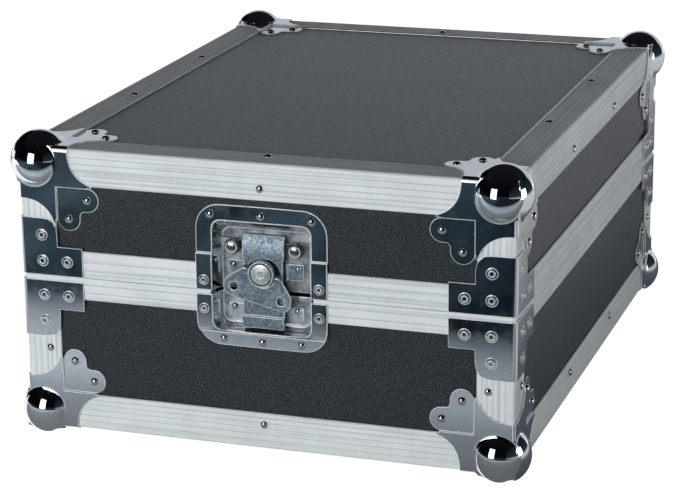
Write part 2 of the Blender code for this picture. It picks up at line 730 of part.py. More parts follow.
def joggled_dish(name, outline, pan_outside, pan_inside, collar, joggle, upper):
    """Half of the latch's dish: a flange stepped over the closing strip, and a pan let in."""
    frame = latch_frame()
    far = DISH_WIDTH
    body = extruded(name, [outline], -PLATE_OUT, EAR_BACK, frame, "chromed_steel")
    over_strip = joggle - upper * PLATE / 2
    over_panel = joggle + upper * PLATE / 2
    strip_side = [(-far, over_strip), (far, over_strip), (far, -upper * far), (-far, -upper * far)]
    panel_side = [(-far, over_panel), (far, over_panel), (far, upper * far), (-far, upper * far)]
    behind_flange = extruded(name + "_behind", [strip_side], -SEAT_GAP, 2 * PANEL_BACK, frame)
    before_flange = extruded(name + "_before", [panel_side], -2 * PLATE_OUT, EAR_TOP, frame)
    combine(body, "DIFFERENCE", [behind_flange, before_flange])
    middle = (EAR_TOP + EAR_BACK) / 2
    wall = tapered(name + "_pan", pan_outside, EAR_BACK, PAN_DEPTH + PLATE, EAR_BACK - middle)
    neck = extruded(name + "_neck", [collar], -(SEAT_GAP + PLATE_OUT) / 2, EAR_BACK, frame)
    hollow = tapered(name + "_hollow", pan_inside, EAR_TOP, PAN_DEPTH, DISH_WIDTH)
    combine(body, "UNION", [wall, neck])
    combine(body, "DIFFERENCE", [hollow])
    return body


def make_lid_dish():
    """The lid's half of the dish, with the two posts that the springs are wound round."""
    low = LID_DISH_EDGE
    outline = rounded_outline(DISH_WIDTH / 2, low, DISH_TOP, 0, DISH_CORNER)
    outside = pan_loops(low, PAN_TOP + PLATE, PLATE, 0, PAN_CORNER + PLATE)
    inside = pan_loops(-DISH_BOTTOM, PAN_TOP, 0.0, 0, PAN_CORNER)
    collar = rounded_outline(PAN_OUTSIDE, low, LID_JOGGLE + PLATE / 2, 0, 0)
    body = joggled_dish("latch_lid_dish", outline, outside, inside, collar, LID_JOGGLE, 1)
    for side in (-1, 1):
        frame = latch_frame(side * SPRING_ACROSS, SPRING_HEIGHT)
        head_back = SPRING_HEAD_DEPTH + SPRING_HEAD_THICKNESS
        profile = [
            (0.0, SPRING_HEAD_DEPTH), (SPRING_HEAD_RADIUS, SPRING_HEAD_DEPTH), (SPRING_HEAD_RADIUS, head_back),
            (SPRING_POST_RADIUS, head_back), (SPRING_POST_RADIUS, PAN_DEPTH + PLATE / 2),
            (0.0, PAN_DEPTH + PLATE / 2),
        ]
        post = turned(f"spring_post_{side}", profile, frame, steps=12)
        combine(body, "UNION", [post])


def make_base_dish():
    """The base's half of the dish, which starts a little below the parting line."""
    high = -BASE_DISH_DROP
    outline = rounded_outline(DISH_WIDTH / 2, -DISH_BOTTOM, high, DISH_CORNER, 0)
    outside = pan_loops(-PAN_BOTTOM - PLATE, high, PLATE, PAN_CORNER + PLATE, 0)
    inside = pan_loops(-PAN_BOTTOM, DISH_TOP, 0.0, PAN_CORNER, 0)
    collar = rounded_outline(PAN_OUTSIDE, -PAN_BOTTOM - PLATE, high, PAN_CORNER + PLATE, 0, 4)
    joggled_dish("latch_base_dish", outline, outside, inside, collar, -BASE_JOGGLE, -1)


def hat_outline(half, foot, front, back, sheet):
    """A strap with a raised middle and two feet, seen along its length: (across, depth) points."""
    side = [(foot, back), (foot, back - sheet), (half, back - sheet), (half, front)]
    under = [(half - sheet, back), (half - sheet, front + sheet)]
    mirrored = [(-across, depth) for across, depth in reversed(side)]
    under_mirrored = [(-across, depth) for across, depth in under]
    return side + mirrored + under_mirrored + list(reversed(under))


def make_keeper():
    """The keeper in the base's dish: a strap whose lower edge the hook draws up against."""
    engaged_catch = HOOK_BOX_BOTTOM + LATCH_SHEET + DRAW_HEIGHT
    low = engaged_catch + CATCH_GAP
    front = HOOK_BACK + DRAW_DEPTH + 2 * CATCH_GAP - LATCH_SHEET
    back = PAN_DEPTH - SEAT_GAP
    frame = frame_of((0, FRONT, PARTING), (1, 0, 0), (0, 1, 0), (0, 0, 1))
    outline = hat_outline(KEEPER_HALF_WIDTH, FOOT_REACH, front, back, LATCH_SHEET)
    body = extruded("latch_keeper", [outline], low, low + KEEPER_HEIGHT, frame, "zinc_plated_steel")
    for side in (-1, 1):
        foot = [
            (side * (KEEPER_HALF_WIDTH + LATCH_SHEET), back - LATCH_SHEET), (side * FOOT_REACH, back - LATCH_SHEET),
            (side * FOOT_REACH, back), (side * (KEEPER_HALF_WIDTH + LATCH_SHEET), back),
        ]
        combine(body, "UNION", [extruded(f"keeper_foot_{side}", [foot], low, low + KEEPER_FOOT_HEIGHT, frame)])


def make_spindle_bridge():
    """The strap on the lid dish's floor that the spindle turns in."""
    front = PAN_DEPTH - SEAT_GAP - BRIDGE_RISE
    back = PAN_DEPTH - SEAT_GAP
    level = frame_of((0, FRONT, PARTING), (1, 0, 0), (0, 1, 0), (0, 0, 1))
    outline = hat_outline(BRIDGE_HALF_WIDTH, FOOT_REACH, front, back, BRIDGE_SHEET)
    low = SPINDLE_HEIGHT - BRIDGE_HALF_HEIGHT
    high = SPINDLE_HEIGHT + BRIDGE_HALF_HEIGHT
    body = extruded("latch_spindle_bridge", [outline], low, high, level, "zinc_plated_steel")
    bore = cylinder("bridge_bore", SPINDLE_TAIL_RADIUS + RUNNING_GAP, 0.0, 2 * PAN_DEPTH,
                    latch_frame(0.0, SPINDLE_HEIGHT))
    combine(body, "DIFFERENCE", [bore])


def make_hook_plate():
    """The sprung hook plate, shown let down: the cam draws it up and in as the spindle turns."""
    back = HOOK_BACK
    box_back = HOOK_BOX_FRONT + LATCH_SHEET
    catch_back = HOOK_BOX_FRONT + HOOK_BOX_WALL_REACH + CATCH_STEP
    sheet = LATCH_SHEET
    bend = [
        (catch_back, HOOK_BOX_BOTTOM), (HOOK_BOX_FRONT, HOOK_BOX_BOTTOM), (HOOK_BOX_FRONT, HOOK_BOX_TOP),
        (HOOK_FRONT, HOOK_BOX_TOP), (HOOK_FRONT, HOOK_FOLD), (HOOK_FRONT + HOOK_FOLD_REACH, HOOK_TOP),
        (back + HOOK_FOLD_REACH, HOOK_TOP - sheet / 2), (back, HOOK_FOLD - sheet / 4),
        (back, HOOK_BOX_TOP - sheet), (box_back, HOOK_BOX_TOP - sheet), (box_back, HOOK_BOX_BOTTOM + sheet),
        (catch_back, HOOK_BOX_BOTTOM + sheet),
    ]
    side_on = frame_of((0, FRONT, PARTING), (0, 1, 0), (0, 0, 1), (1, 0, 0))
    body = extruded("latch_hook_plate", [bend], -HOOK_HALF_WIDTH, HOOK_HALF_WIDTH, side_on, "zinc_plated_steel")
    yoke_half_height = CAM_RADIUS + YOKE_PLAY
    yoke_half_width = CAM_RADIUS + CAM_OFFSET + YOKE_SIDE_PLAY
    centre = SPINDLE_HEIGHT - CAM_OFFSET
    yoke = rounded_outline(yoke_half_width, centre - yoke_half_height, centre + yoke_half_height,
                           CAM_RADIUS, CAM_RADIUS, 7)
    combine(body, "DIFFERENCE", [extruded("yoke_slot", [yoke], 0.0, PAN_DEPTH, latch_frame())])
    for side in (-1, 1):
        waist = [
            (side * HOOK_WAIST, 0.006), (side * 2 * HOOK_HALF_WIDTH, 0.001),
            (side * 2 * HOOK_HALF_WIDTH, 0.031), (side * HOOK_WAIST, 0.027),
        ]
        combine(body, "DIFFERENCE", [extruded(f"hook_waist_{side}", [waist], 0.0, PAN_DEPTH, latch_frame())])
        wall_from, wall_to = sorted((side * HOOK_HALF_WIDTH, side * (HOOK_HALF_WIDTH - sheet)))
        wall = box(f"hook_wall_{side}",
                   (wall_from, FRONT + HOOK_BOX_FRONT + FINE, PARTING + HOOK_BOX_BOTTOM + FINE),
                   (wall_to, FRONT + HOOK_BOX_FRONT + HOOK_BOX_WALL_REACH, PARTING + HOOK_BOX_TOP - FINE))
        cheek = box(f"hook_cheek_{side}",
                    (wall_from, FRONT + HOOK_FRONT + FINE, PARTING + HOOK_SIDE_FROM),
                    (wall_to, FRONT + back + HOOK_SIDE_REACH, PARTING + HOOK_FOLD - sheet))
        combine(body, "UNION", [wall, cheek])


def make_spindle():
    """The spindle: a round head, an off-centre cam, a peened tail and the butterfly's cross pin."""
    frame = latch_frame(0.0, SPINDLE_HEIGHT)
    bridge_front = PAN_DEPTH - SEAT_GAP - BRIDGE_RISE
    bridge_back = bridge_front + BRIDGE_SHEET
    cam_front = SPINDLE_HEAD_BACK + CAM_BEHIND_HEAD
    cam_back = bridge_front - RUNNING_GAP
    tail_end = PAN_DEPTH - SEAT_GAP
    rim = SPINDLE_HEAD_FRONT
    profile = [
        (0.0, rim + 0.0008), (0.0078, rim + 0.0008), (0.0086, rim), (0.0098, rim),
        (SPINDLE_HEAD_RADIUS, rim + 0.0007), (SPINDLE_HEAD_RADIUS, SPINDLE_HEAD_BACK),
        (SPINDLE_NECK_RADIUS, SPINDLE_HEAD_BACK), (SPINDLE_NECK_RADIUS, cam_back - 0.0012),
        (SPINDLE_TAIL_RADIUS, cam_back - 0.0012), (SPINDLE_TAIL_RADIUS, bridge_back + RUNNING_GAP),
        (TAIL_FLANGE_RADIUS, bridge_back + RUNNING_GAP), (TAIL_FLANGE_RADIUS, tail_end), (0.0, tail_end),
    ]
    body = turned("latch_spindle", profile, frame, "zinc_plated_steel", 16)
    cam_frame = latch_frame(0.0, SPINDLE_HEIGHT - CAM_OFFSET)
    cam = cylinder("spindle_cam", CAM_RADIUS, cam_front, cam_back, cam_frame)
    pin = cylinder("cross_pin", CROSS_PIN_RADIUS, -PIN_HALF_LENGTH, PIN_HALF_LENGTH, wing_axis_frame(), 12)
    combine(body, "UNION", [cam, pin])


def wing_axis_frame():
    """The cross pin's frame: its third axis runs along the pin, turned with the butterfly."""
    along = Vector((math.cos(BUTTERFLY_TURN), 0.0, -math.sin(BUTTERFLY_TURN)))
    up = Vector((math.sin(BUTTERFLY_TURN), 0.0, math.cos(BUTTERFLY_TURN)))
    origin = (0, FRONT + CROSS_PIN_DEPTH, PARTING + SPINDLE_HEIGHT)
    return frame_of(origin, (0, 1, 0), up, along)


def butterfly_outline():
    """The butterfly's plate: two wings below the pin, and a bay for the spindle's head."""
    ear = PIN_HALF_LENGTH + RUNNING_GAP
    bay = SPINDLE_HEAD_RADIUS + HEAD_BAY_GAP
    top = CROSS_PIN_RADIUS
    half = [(bay, top), (ear, top), (WING_SHOULDER, -top / 2)]
    half += [(WING_SPAN, -WING_TIP_HIGH), (WING_SPAN, -WING_TIP_LOW)]
    half += arc((WING_FOOT, -WING_DROP + 0.006), 0.006, -30, -90, 3)
    mirrored = [(-across, along) for across, along in reversed(half)]
    bay_arc = arc((0.0, 0.0), bay, 180, 360, 12)
    return half + mirrored + bay_arc


def make_butterfly():
    """The folding butterfly, its knuckles round the spindle's cross pin."""
    turn = BUTTERFLY_TURN
    across = (math.cos(turn), 0.0, -math.sin(turn))
    up = (math.sin(turn), 0.0, math.cos(turn))
    frame = frame_of((0, FRONT, PARTING + SPINDLE_HEIGHT), across, up, (0, 1, 0))
    eyes = []
    for side in (-1, 1):
        eyes.append(arc((side * EYE_ACROSS, -EYE_DROP), EYE_RADIUS, 0, 330, 11))
    front = BUTTERFLY_BACK - BUTTERFLY_SHEET
    body = extruded("latch_butterfly", [butterfly_outline()] + eyes, front, BUTTERFLY_BACK, frame,
                    "zinc_plated_steel")
    bay = SPINDLE_HEAD_RADIUS + HEAD_BAY_GAP
    for side in (-1, 1):
        start, end = sorted((side * bay, side * (PIN_HALF_LENGTH + RUNNING_GAP)))
        knuckle = cylinder(f"wing_knuckle_{side}", KNUCKLE_RADIUS, start, end, wing_axis_frame(), 12)
        combine(body, "UNION", [knuckle])
    reach = PIN_HALF_LENGTH + 2 * RUNNING_GAP
    bore = cylinder("wing_bore", CROSS_PIN_RADIUS + RUNNING_GAP, -reach, reach, wing_axis_frame(), 12)
    combine(body, "DIFFERENCE", [bore])
    set_origin(body, (0, FRONT + CROSS_PIN_DEPTH, PARTING + SPINDLE_HEIGHT))


def set_origin(item, place):
    """Move a piece's origin to its joint without moving the piece."""
    item.data.transform(Matrix.Translation(-Vector(place)))
    item.location = place


def spring_route(side):
    """The middle line of one latch spring: a leg to the hook plate, the coil, a leg to the wall."""
    first = SPRING_HEAD_DEPTH + SPRING_HEAD_THICKNESS + SPRING_WIRE
    last = SPRING_BACK
    top = SPRING_HEIGHT + SPRING_MEAN_RADIUS
    hook_end = HOOK_HALF_WIDTH + SPRING_LEG_GAP
    wall_end = PAN_WIDTH / 2 - PAN_SIDE_SLOPE - SPRING_LEG_GAP
    points = [(hook_end, first, top), ((hook_end + SPRING_ACROSS) / 2, first, top)]
    steps = SPRING_TURNS * SPRING_POINTS
    for i in range(steps + 1):
        angle = math.pi / 2 - 2 * math.pi * i / SPRING_POINTS
        across = SPRING_ACROSS + SPRING_MEAN_RADIUS * math.cos(angle)
        height = SPRING_HEIGHT + SPRING_MEAN_RADIUS * math.sin(angle)
        points.append((across, first + (last - first) * i / steps, height))
    points += [((wall_end + SPRING_ACROSS) / 2, last, top), (wall_end, last, top)]
    return [Vector((side * across, FRONT + depth, PARTING + height)) for across, depth, height in points]


def least_gap(points, thickness):
    """The least gap of a wire to itself, between stretches a turn or more apart."""
    least = math.inf
    apart = SPRING_POINTS // 2
    for i, here in enumerate(points):
        for there in points[i + apart:]:
            least = min(least, (there - here).length - thickness)
    return least


def make_springs():
    """The two wire springs beside the hook plate."""
    for name, side in (("latch_spring_left", -1), ("latch_spring_right", 1)):
        points = spring_route(side)
        curve = bpy.data.curves.new(name, "CURVE")
        curve.dimensions = "3D"
        curve.bevel_depth = SPRING_WIRE / 2
        curve.bevel_resolution = 1
        curve.use_fill_caps = True
        spline = curve.splines.new("POLY")
        spline.points.add(len(points) - 1)
        for point, place in zip(spline.points, points):
            point.co = (*place, 1.0)
        finish(bpy.data.objects.new(name, curve), "zinc_plated_steel")
        print(f"{name}: least gap to itself {least_gap(points, SPRING_WIRE) * 1000:.2f} mm")


def knuckle_spans():
    """The stretches of a hinge's barrel, from end to end: base, lid, base, lid, base."""
    length = HINGE_WIDTH / HINGE_KNUCKLES
    spans = []
    for i in range(HINGE_KNUCKLES):
        low = -HINGE_WIDTH / 2 + i * length
        spans.append((low + SEAT_GAP / 2, low + length - SEAT_GAP / 2, i % 2 == 0))
    return spans


def make_hinges():
    """Two riveted hinges at the rear, with a nose on the lid's leaf that stops it just past upright."""
    axis_depth = REAR + SEAT_GAP + HINGE_BARREL_RADIUS
    clear = HINGE_BARREL_RADIUS + SEAT_GAP
    for name, middle in (("left", -HINGE_MIDDLE), ("right", HINGE_MIDDLE)):
        along = frame_of((middle, axis_depth, PARTING), (0, 1, 0), (0, 0, 1), (1, 0, 0))
        leaves = (("base", -1, True), ("lid", 1, False))
        for half, up, own in leaves:
            low, high = sorted((up * clear, up * HINGE_LEAF_DROP))
            leaf = box(f"hinge_{half}_leaf_{name}",
                       (middle - HINGE_WIDTH / 2, REAR + SEAT_GAP, PARTING + low),
                       (middle + HINGE_WIDTH / 2, REAR + SEAT_GAP + HINGE_SHEET, PARTING + high),
                       "zinc_plated_steel")
            add_knuckles(leaf, along, middle, up, own)


def add_knuckles(leaf, along, middle, up, own):
    """Roll a leaf's own knuckles round the pin; the base's knuckles hold the pin."""
    clear = HINGE_BARREL_RADIUS + SEAT_GAP
    steps = 16
    for number, (start, end, is_base) in enumerate(knuckle_spans()):
        if is_base != own:
            continue
        low, high = sorted((0.0, up * (clear + HINGE_SHEET)))
        tab = box(f"{leaf.name}_tab_{number}",
                  (middle + start, REAR + SEAT_GAP, PARTING + low),
                  (middle + end, REAR + SEAT_GAP + HINGE_SHEET, PARTING + high))
        barrel = cylinder(f"{leaf.name}_barrel_{number}", HINGE_BARREL_RADIUS, start, end, along, steps)
        combine(leaf, "UNION", [tab, barrel])
        if not own:
            nose_outline = [
                (HINGE_BARREL_RADIUS / 2, -STOP_BELOW), (STOP_REACH, -STOP_BELOW),
                (STOP_REACH, STOP_ABOVE), (HINGE_BARREL_RADIUS / 2, STOP_ABOVE),
            ]
            nose = extruded(f"{leaf.name}_nose_{number}", [nose_outline], start, end, along)
            combine(leaf, "UNION", [nose])
    half = HINGE_WIDTH / 2
    if own:
        pin = cylinder(f"{leaf.name}_pin", HINGE_PIN_RADIUS, -half + SEAT_GAP, half - SEAT_GAP, along, 12)
        combine(leaf, "UNION", [pin])
    else:
        bore = cylinder(f"{leaf.name}_bore", HINGE_PIN_RADIUS + RUNNING_GAP, -half, half, along, 12)
        combine(leaf, "DIFFERENCE", [bore])


def make_foam():
    """The foam lining: a tray in each half, cut away behind the latch's dish."""
    side = PANEL_EDGE
    recess_half = PAN_OUTSIDE + 4 * PAN_CLEARANCE
    recess_back = PAN_DEPTH + PLATE + 2 * PAN_CLEARANCE
    halves = (
        ("base_foam", BOTTOM + PANEL_EDGE, PARTING - FOAM_BELOW_RIM, BASE_FOAM_FLOOR, True),
        ("lid_foam", PARTING + FOAM_BELOW_RIM, TOP - PANEL_EDGE, LID_FOAM_ROOF, False),
    )
    for name, low, high, thickness, opens_up in halves:
        tray = box(name, (LEFT + side, FRONT + side, low), (RIGHT - side, REAR - side, high), "grey_foam")
        wall = side + FOAM_WALL
        cavity_low = low + thickness if opens_up else low - thickness
        cavity_high = high + thickness if opens_up else high - thickness
        cavity = box(name + "_cavity", (LEFT + wall, FRONT + wall, cavity_low),
                     (RIGHT - wall, REAR - wall, cavity_high))
        reach = PAN_TOP + PLATE + 4 * PAN_CLEARANCE
        recess = box(name + "_recess", (-recess_half, FRONT, PARTING - reach),
                     (recess_half, FRONT + recess_back, PARTING + reach))
        combine(tray, "DIFFERENCE", [cavity, recess])


def main():
    """Build the whole case."""
    clear_scene()
    make_collections()
    make_materials()
    make_panels()
    make_edges()
    make_posts()
    make_rims()
    corner_heights = (("base", BOTTOM, 1), ("lid", TOP, -1))
    place_at_corners(corner_prototype(), "ball_corner", corner_heights, "chromed_steel")
    brace_heights = (("base", PARTING - BASE_BRACE_DROP, -1), ("lid", PARTING + SEAT_GAP, 1))
    place_at_corners(brace_prototype(), "brace", brace_heights, "chromed_steel")
    make_lid_dish()
    make_base_dish()
    make_keeper()
    make_spindle_bridge()
    make_hook_plate()
    make_spindle()
    make_butterfly()
    make_springs()
    make_hinges()
    make_foam()


main()
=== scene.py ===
"""The looks of a flight case for a DJ mixer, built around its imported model.

Laminate panels stand in grooved aluminium edges, with chromed ball corners, corner braces and a recessed
butterfly latch. Everything is in metres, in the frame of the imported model.
"""

import json
import logging
import math
import random
from dataclasses import dataclass, field
from enum import Enum
from typing import Any, Callable, Sequence

import bmesh
import bpy
from mathutils import Matrix, Vector


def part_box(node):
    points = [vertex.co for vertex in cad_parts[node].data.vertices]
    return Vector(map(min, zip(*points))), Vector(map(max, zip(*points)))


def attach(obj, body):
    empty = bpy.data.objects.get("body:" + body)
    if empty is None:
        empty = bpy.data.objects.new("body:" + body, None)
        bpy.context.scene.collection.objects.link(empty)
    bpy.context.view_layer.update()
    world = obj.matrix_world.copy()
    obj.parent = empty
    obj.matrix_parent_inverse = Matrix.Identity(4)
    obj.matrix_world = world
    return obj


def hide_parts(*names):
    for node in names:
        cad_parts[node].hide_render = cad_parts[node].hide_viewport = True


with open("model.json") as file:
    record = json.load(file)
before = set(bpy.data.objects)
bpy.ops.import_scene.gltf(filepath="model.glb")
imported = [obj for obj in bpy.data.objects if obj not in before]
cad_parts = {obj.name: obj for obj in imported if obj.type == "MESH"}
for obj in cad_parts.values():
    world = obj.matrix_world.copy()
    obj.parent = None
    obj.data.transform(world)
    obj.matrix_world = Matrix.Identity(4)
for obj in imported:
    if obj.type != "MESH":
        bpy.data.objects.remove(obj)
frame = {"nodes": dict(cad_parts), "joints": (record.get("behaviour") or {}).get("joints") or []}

logging.basicConfig(level=logging.INFO, format="%(message)s")
log = logging.getLogger("flight_case")

Place = tuple[float, float, float]


class Body(Enum):
    """The moving bodies of the case."""

    BASE = "base"
    LID = "lid"
    HOOK = "latch_hook"
    SPINDLE = "latch_spindle"
    BUTTERFLY = "latch_butterfly"


class Slot(Enum):
    """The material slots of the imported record."""

    LAMINATE = "laminate"
    EXTRUSION = "extrusion"
    CHROME = "chromed_plate"
    ZINC = "zinc_plate"
    FOAM = "foam"


class Run(Enum):
    """The way that an aluminium section runs, as the stretch of its drawn grain."""

    ACROSS = (4.0, 340.0, 340.0)
    DEEP = (340.0, 4.0, 340.0)
    UPRIGHT = (340.0, 340.0, 4.0)


class RivetKind(Enum):
    """The two rivets of the case."""

    SOLID = "solid"
    HOLLOW = "hollow"


class Shader:
    """A new material with its Principled shader, and short ways to add nodes to it."""

    def __init__(self, name: str) -> None:
        """Make the material.

        Args:
            name: the material's name.
        """
        self.material = bpy.data.materials.new(name)
        self.material.use_nodes = True
        self.tree = self.material.node_tree
        self.principled = self.tree.nodes["Principled BSDF"]
        self.place = self.node("ShaderNodeTexCoord").outputs["Object"]

    def node(self, kind: str, **settings: Any) -> bpy.types.Node:
        """Add a node.

        Args:
            kind: the node's Blender type.
            settings: its properties.

        Returns:
            The new node.
        """
        made = self.tree.nodes.new(kind)
        for name, value in settings.items():
            setattr(made, name, value)
        return made

    def link(self, source: bpy.types.NodeSocket, target: bpy.types.NodeSocket) -> None:
        """Join an output to an input."""
        self.tree.links.new(source, target)

    def stretched(self, scale: Place) -> bpy.types.NodeSocket:
        """The object's own coordinates, stretched.

        Args:
            scale: a factor for each axis.

        Returns:
            The stretched vector.
        """
        mapping = self.node("ShaderNodeMapping")
        mapping.inputs["Scale"].default_value = scale
        self.link(self.place, mapping.inputs["Vector"])
        return mapping.outputs["Vector"]

    def noise(self, scale: float, detail: float = 2.0, rough: float = 0.5,
              vector: bpy.types.NodeSocket | None = None) -> bpy.types.NodeSocket:
        """Soft noise.

        Args:
            scale: grains in a metre.
            detail: how many finer layers it has.
            rough: how strong the finer layers are.
            vector: where it is read, or None for the object's own coordinates.

        Returns:
            The noise's factor.
        """
        made = self.node("ShaderNodeTexNoise")
        made.inputs["Scale"].default_value = scale
        made.inputs["Detail"].default_value = detail
        made.inputs["Roughness"].default_value = rough
        self.link(vector or self.place, made.inputs["Vector"])
        return made.outputs["Fac"]

    def ramp(self, factor: bpy.types.NodeSocket,
             stops: Sequence[tuple[float, tuple[float, ...]]]) -> bpy.types.NodeSocket:
        """A colour or value for each level of a factor.

        Args:
            factor: what is read.
            stops: level and colour, or level and grey, from low to high.

        Returns:
            The ramp's colour.
        """
        made = self.node("ShaderNodeValToRGB")
        band = made.color_ramp
        while len(band.elements) < len(stops):
            band.elements.new(0.5)
        for element, (level, shade) in zip(band.elements, stops):
            element.position = level
            element.color = (*shade, 1.0) if len(shade) == 3 else (shade[0], shade[0], shade[0], 1.0)
        self.link(factor, made.inputs["Fac"])
        return made.outputs["Color"]

    def multiplied(self, first: bpy.types.NodeSocket, second: bpy.types.NodeSocket,
                   amount: float = 1.0) -> bpy.types.NodeSocket:
        """One colour times another.

        Args:
            first: a colour.
            second: the colour that it is multiplied by.
            amount: how much of the second counts.

        Returns:
            The product.
        """
        made = self.node("ShaderNodeMix", data_type="RGBA", blend_type="MULTIPLY")
        made.inputs["Factor"].default_value = amount
        self.link(first, made.inputs["A"])
        self.link(second, made.inputs["B"])
        return made.outputs["Result"]

    def bump(self, height: bpy.types.NodeSocket, strength: float, distance: float,
             below: bpy.types.NodeSocket | None = None) -> bpy.types.NodeSocket:
        """Fine relief.

        Args:
            height: the relief's height from 0 to 1.
            strength: how strong it is.
            distance: its depth in metres.
            below: the normal of relief under this one.

        Returns:
            The normal.
        """
        made = self.node("ShaderNodeBump")
        made.inputs["Strength"].default_value = strength
        made.inputs["Distance"].default_value = distance
        self.link(height, made.inputs["Height"])
        if below:
            self.link(below, made.inputs["Normal"])
        return made.outputs["Normal"]

    def finish(self, colour: bpy.types.NodeSocket, rough: bpy.types.NodeSocket,
               normal: bpy.types.NodeSocket | None = None) -> bpy.types.Material:
        """Link the colour, the roughness and the relief to the shader.

        Args:
            colour: the base colour.
            rough: the roughness.
            normal: the relief's normal, if there is any.

        Returns:
            The finished material.
        """
        self.link(colour, self.principled.inputs["Base Color"])
        self.link(rough, self.principled.inputs["Roughness"])
        if normal:
            self.link(normal, self.principled.inputs["Normal"])
        return self.material


@dataclass(frozen=True)
class Laminate:
    """Matt black laminate with a fine speckle."""

    name: str = "speckled_laminate"
    dark: Place = (0.001, 0.002, 0.003)
    middle: Place = (0.007, 0.010, 0.013)
    light: Place = (0.125, 0.165, 0.192)
    grains: float = 980.0
    gloss: float = 0.55
    dust: float = 0.12

    def material(self) -> bpy.types.Material:
        """Build the laminate."""
        shader = Shader(self.name)
        speckle = shader.noise(self.grains, 3.0, 0.65)
        colour = shader.ramp(speckle, [(0.39, self.dark), (0.52, self.middle), (0.68, self.light)])
        cloud = shader.ramp(shader.noise(14.0, 3.0), [(0.3, (0.86,)), (0.7, (1.0,))])
        rough = shader.ramp(shader.noise(260.0, 3.0), [(0.3, (0.34,)), (0.7, (0.46,))])
        grain = shader.bump(speckle, 0.30, 0.00020)
        shader.principled.inputs["Specular IOR Level"].default_value = self.gloss
        shader.principled.inputs["Sheen Weight"].default_value = self.dust
        shader.principled.inputs["Sheen Roughness"].default_value = 0.4
        shader.principled.inputs["Sheen Tint"].default_value = (0.80, 0.94, 1.0, 1.0)
        return shader.finish(shader.multiplied(colour, cloud), rough, grain)


@dataclass(frozen=True)
class Anodised:
    """Satin anodised aluminium, with the drawn lines of its section along it."""

    run: Run
    dull: Place = (0.60, 0.65, 0.67)
    bright: Place = (0.79, 0.84, 0.86)
    metal: float = 0.08
    name: str = "anodised"

    def material(self) -> bpy.types.Material:
        """Build the aluminium."""
        shader = Shader(f"{self.name}_{self.run.name.lower()}")
        lines = shader.noise(1.0, 4.0, 0.6, shader.stretched(self.run.value))
        colour = shader.ramp(lines, [(0.32, self.dull), (0.50, self.bright)])
        blotch = shader.ramp(shader.noise(22.0, 4.0, 0.6), [(0.35, (0.90,)), (0.65, (1.0,))])
        rough = shader.ramp(shader.noise(60.0, 4.0, 0.7), [(0.3, (0.38,)), (0.7, (0.50,))])
        shader.principled.inputs["Metallic"].default_value = self.metal
        shader.principled.inputs["Specular IOR Level"].default_value = 0.25
        fine = shader.bump(lines, 0.22, 0.00010)
        return shader.finish(shader.multiplied(colour, blotch), rough, fine)


@dataclass(frozen=True)
class Plated:
    """Plated steel: bright chrome, dull zinc or a rivet's steel, by its values."""

    name: str
    dull: Place
    bright: Place
    smooth: float
    hazy: float
    spangle: float
    dents: float = 0.0
    metal: float = 1.0
    haze: tuple[float, float] = (0.35, 0.70)

    def material(self) -> bpy.types.Material:
        """Build the plating."""
        shader = Shader(self.name)
        mottle = shader.noise(self.spangle, 3.0, 0.6)
        colour = shader.ramp(mottle, [(0.35, self.dull), (0.62, self.bright)])
        smear = shader.noise(90.0, 4.0, 0.65)
        rough = shader.ramp(smear, [(self.haze[0], (self.smooth,)), (self.haze[1], (self.hazy,))])
        shader.principled.inputs["Metallic"].default_value = self.metal
        normal = shader.bump(mottle, 0.06, 0.00008)
        if self.dents:
            normal = shader.bump(shader.noise(38.0, 1.0), self.dents, 0.0010, normal)
        return shader.finish(colour, rough, normal)


@dataclass(frozen=True)
class Foam:
    """Dark closed-cell foam with small open pores at its cut faces."""

    name: str = "closed_cell_foam"
    dark: Place = (0.020, 0.020, 0.022)
    light: Place = (0.080, 0.080, 0.086)

    def material(self) -> bpy.types.Material:
        """Build the foam."""
        shader = Shader(self.name)
        cells = shader.node("ShaderNodeTexVoronoi")
        cells.inputs["Scale"].default_value = 620.0
        shader.link(shader.place, cells.inputs["Vector"])
        colour = shader.ramp(cells.outputs["Distance"], [(0.05, self.light), (0.55, self.dark)])
        cloud = shader.ramp(shader.noise(30.0, 4.0), [(0.3, (0.8,)), (0.7, (1.0,))])
        rough = shader.ramp(shader.noise(200.0), [(0.2, (0.88,)), (0.8, (0.98,))])
        normal = shader.bump(cells.outputs["Distance"], 0.5, 0.0006)
        return shader.finish(shader.multiplied(colour, cloud), rough, normal)


CHROME = Plated("bright_chrome", (0.72, 0.76, 0.80), (0.79, 0.82, 0.86), 0.06, 0.17, 420.0, 0.04,
                haze=(0.42, 0.74))
BALL_CHROME = Plated("ball_chrome", (0.80, 0.82, 0.85), (0.84, 0.86, 0.88), 0.03, 0.06, 300.0, 0.01)
ZINC = Plated("mottled_zinc", (0.34, 0.42, 0.48), (0.68, 0.75, 0.80), 0.26, 0.40, 560.0, 0.03)
# Darker and lighter copies of one zinc: painted shade on the hook plate, less of it on the butterfly and
# bridge, painted light on the keeper, head and pin.
SHADED_ZINC = Plated("shaded_zinc", (0.13, 0.20, 0.25), (0.44, 0.54, 0.61), 0.36, 0.50, 460.0, 0.05)
HALF_SHADED_ZINC = Plated("half_shaded_zinc", (0.24, 0.34, 0.41), (0.62, 0.72, 0.79), 0.26, 0.42, 430.0, 0.06)
LIT_ZINC = Plated("lit_zinc", (0.50, 0.57, 0.61), (0.86, 0.89, 0.91), 0.24, 0.40, 520.0, 0.04, 0.85)
# Bright, partly matt roundings: a painted highlight along the edges of plates and fittings.
EDGE_HIGHLIGHT = Plated("painted_edge_highlight", (0.80, 0.84, 0.87), (0.92, 0.95, 0.97), 0.25, 0.40, 500.0, metal=0.30)
RING_STEEL = Plated("ring_steel", (0.66, 0.70, 0.73), (0.86, 0.89, 0.91), 0.20, 0.34, 800.0, metal=0.50)
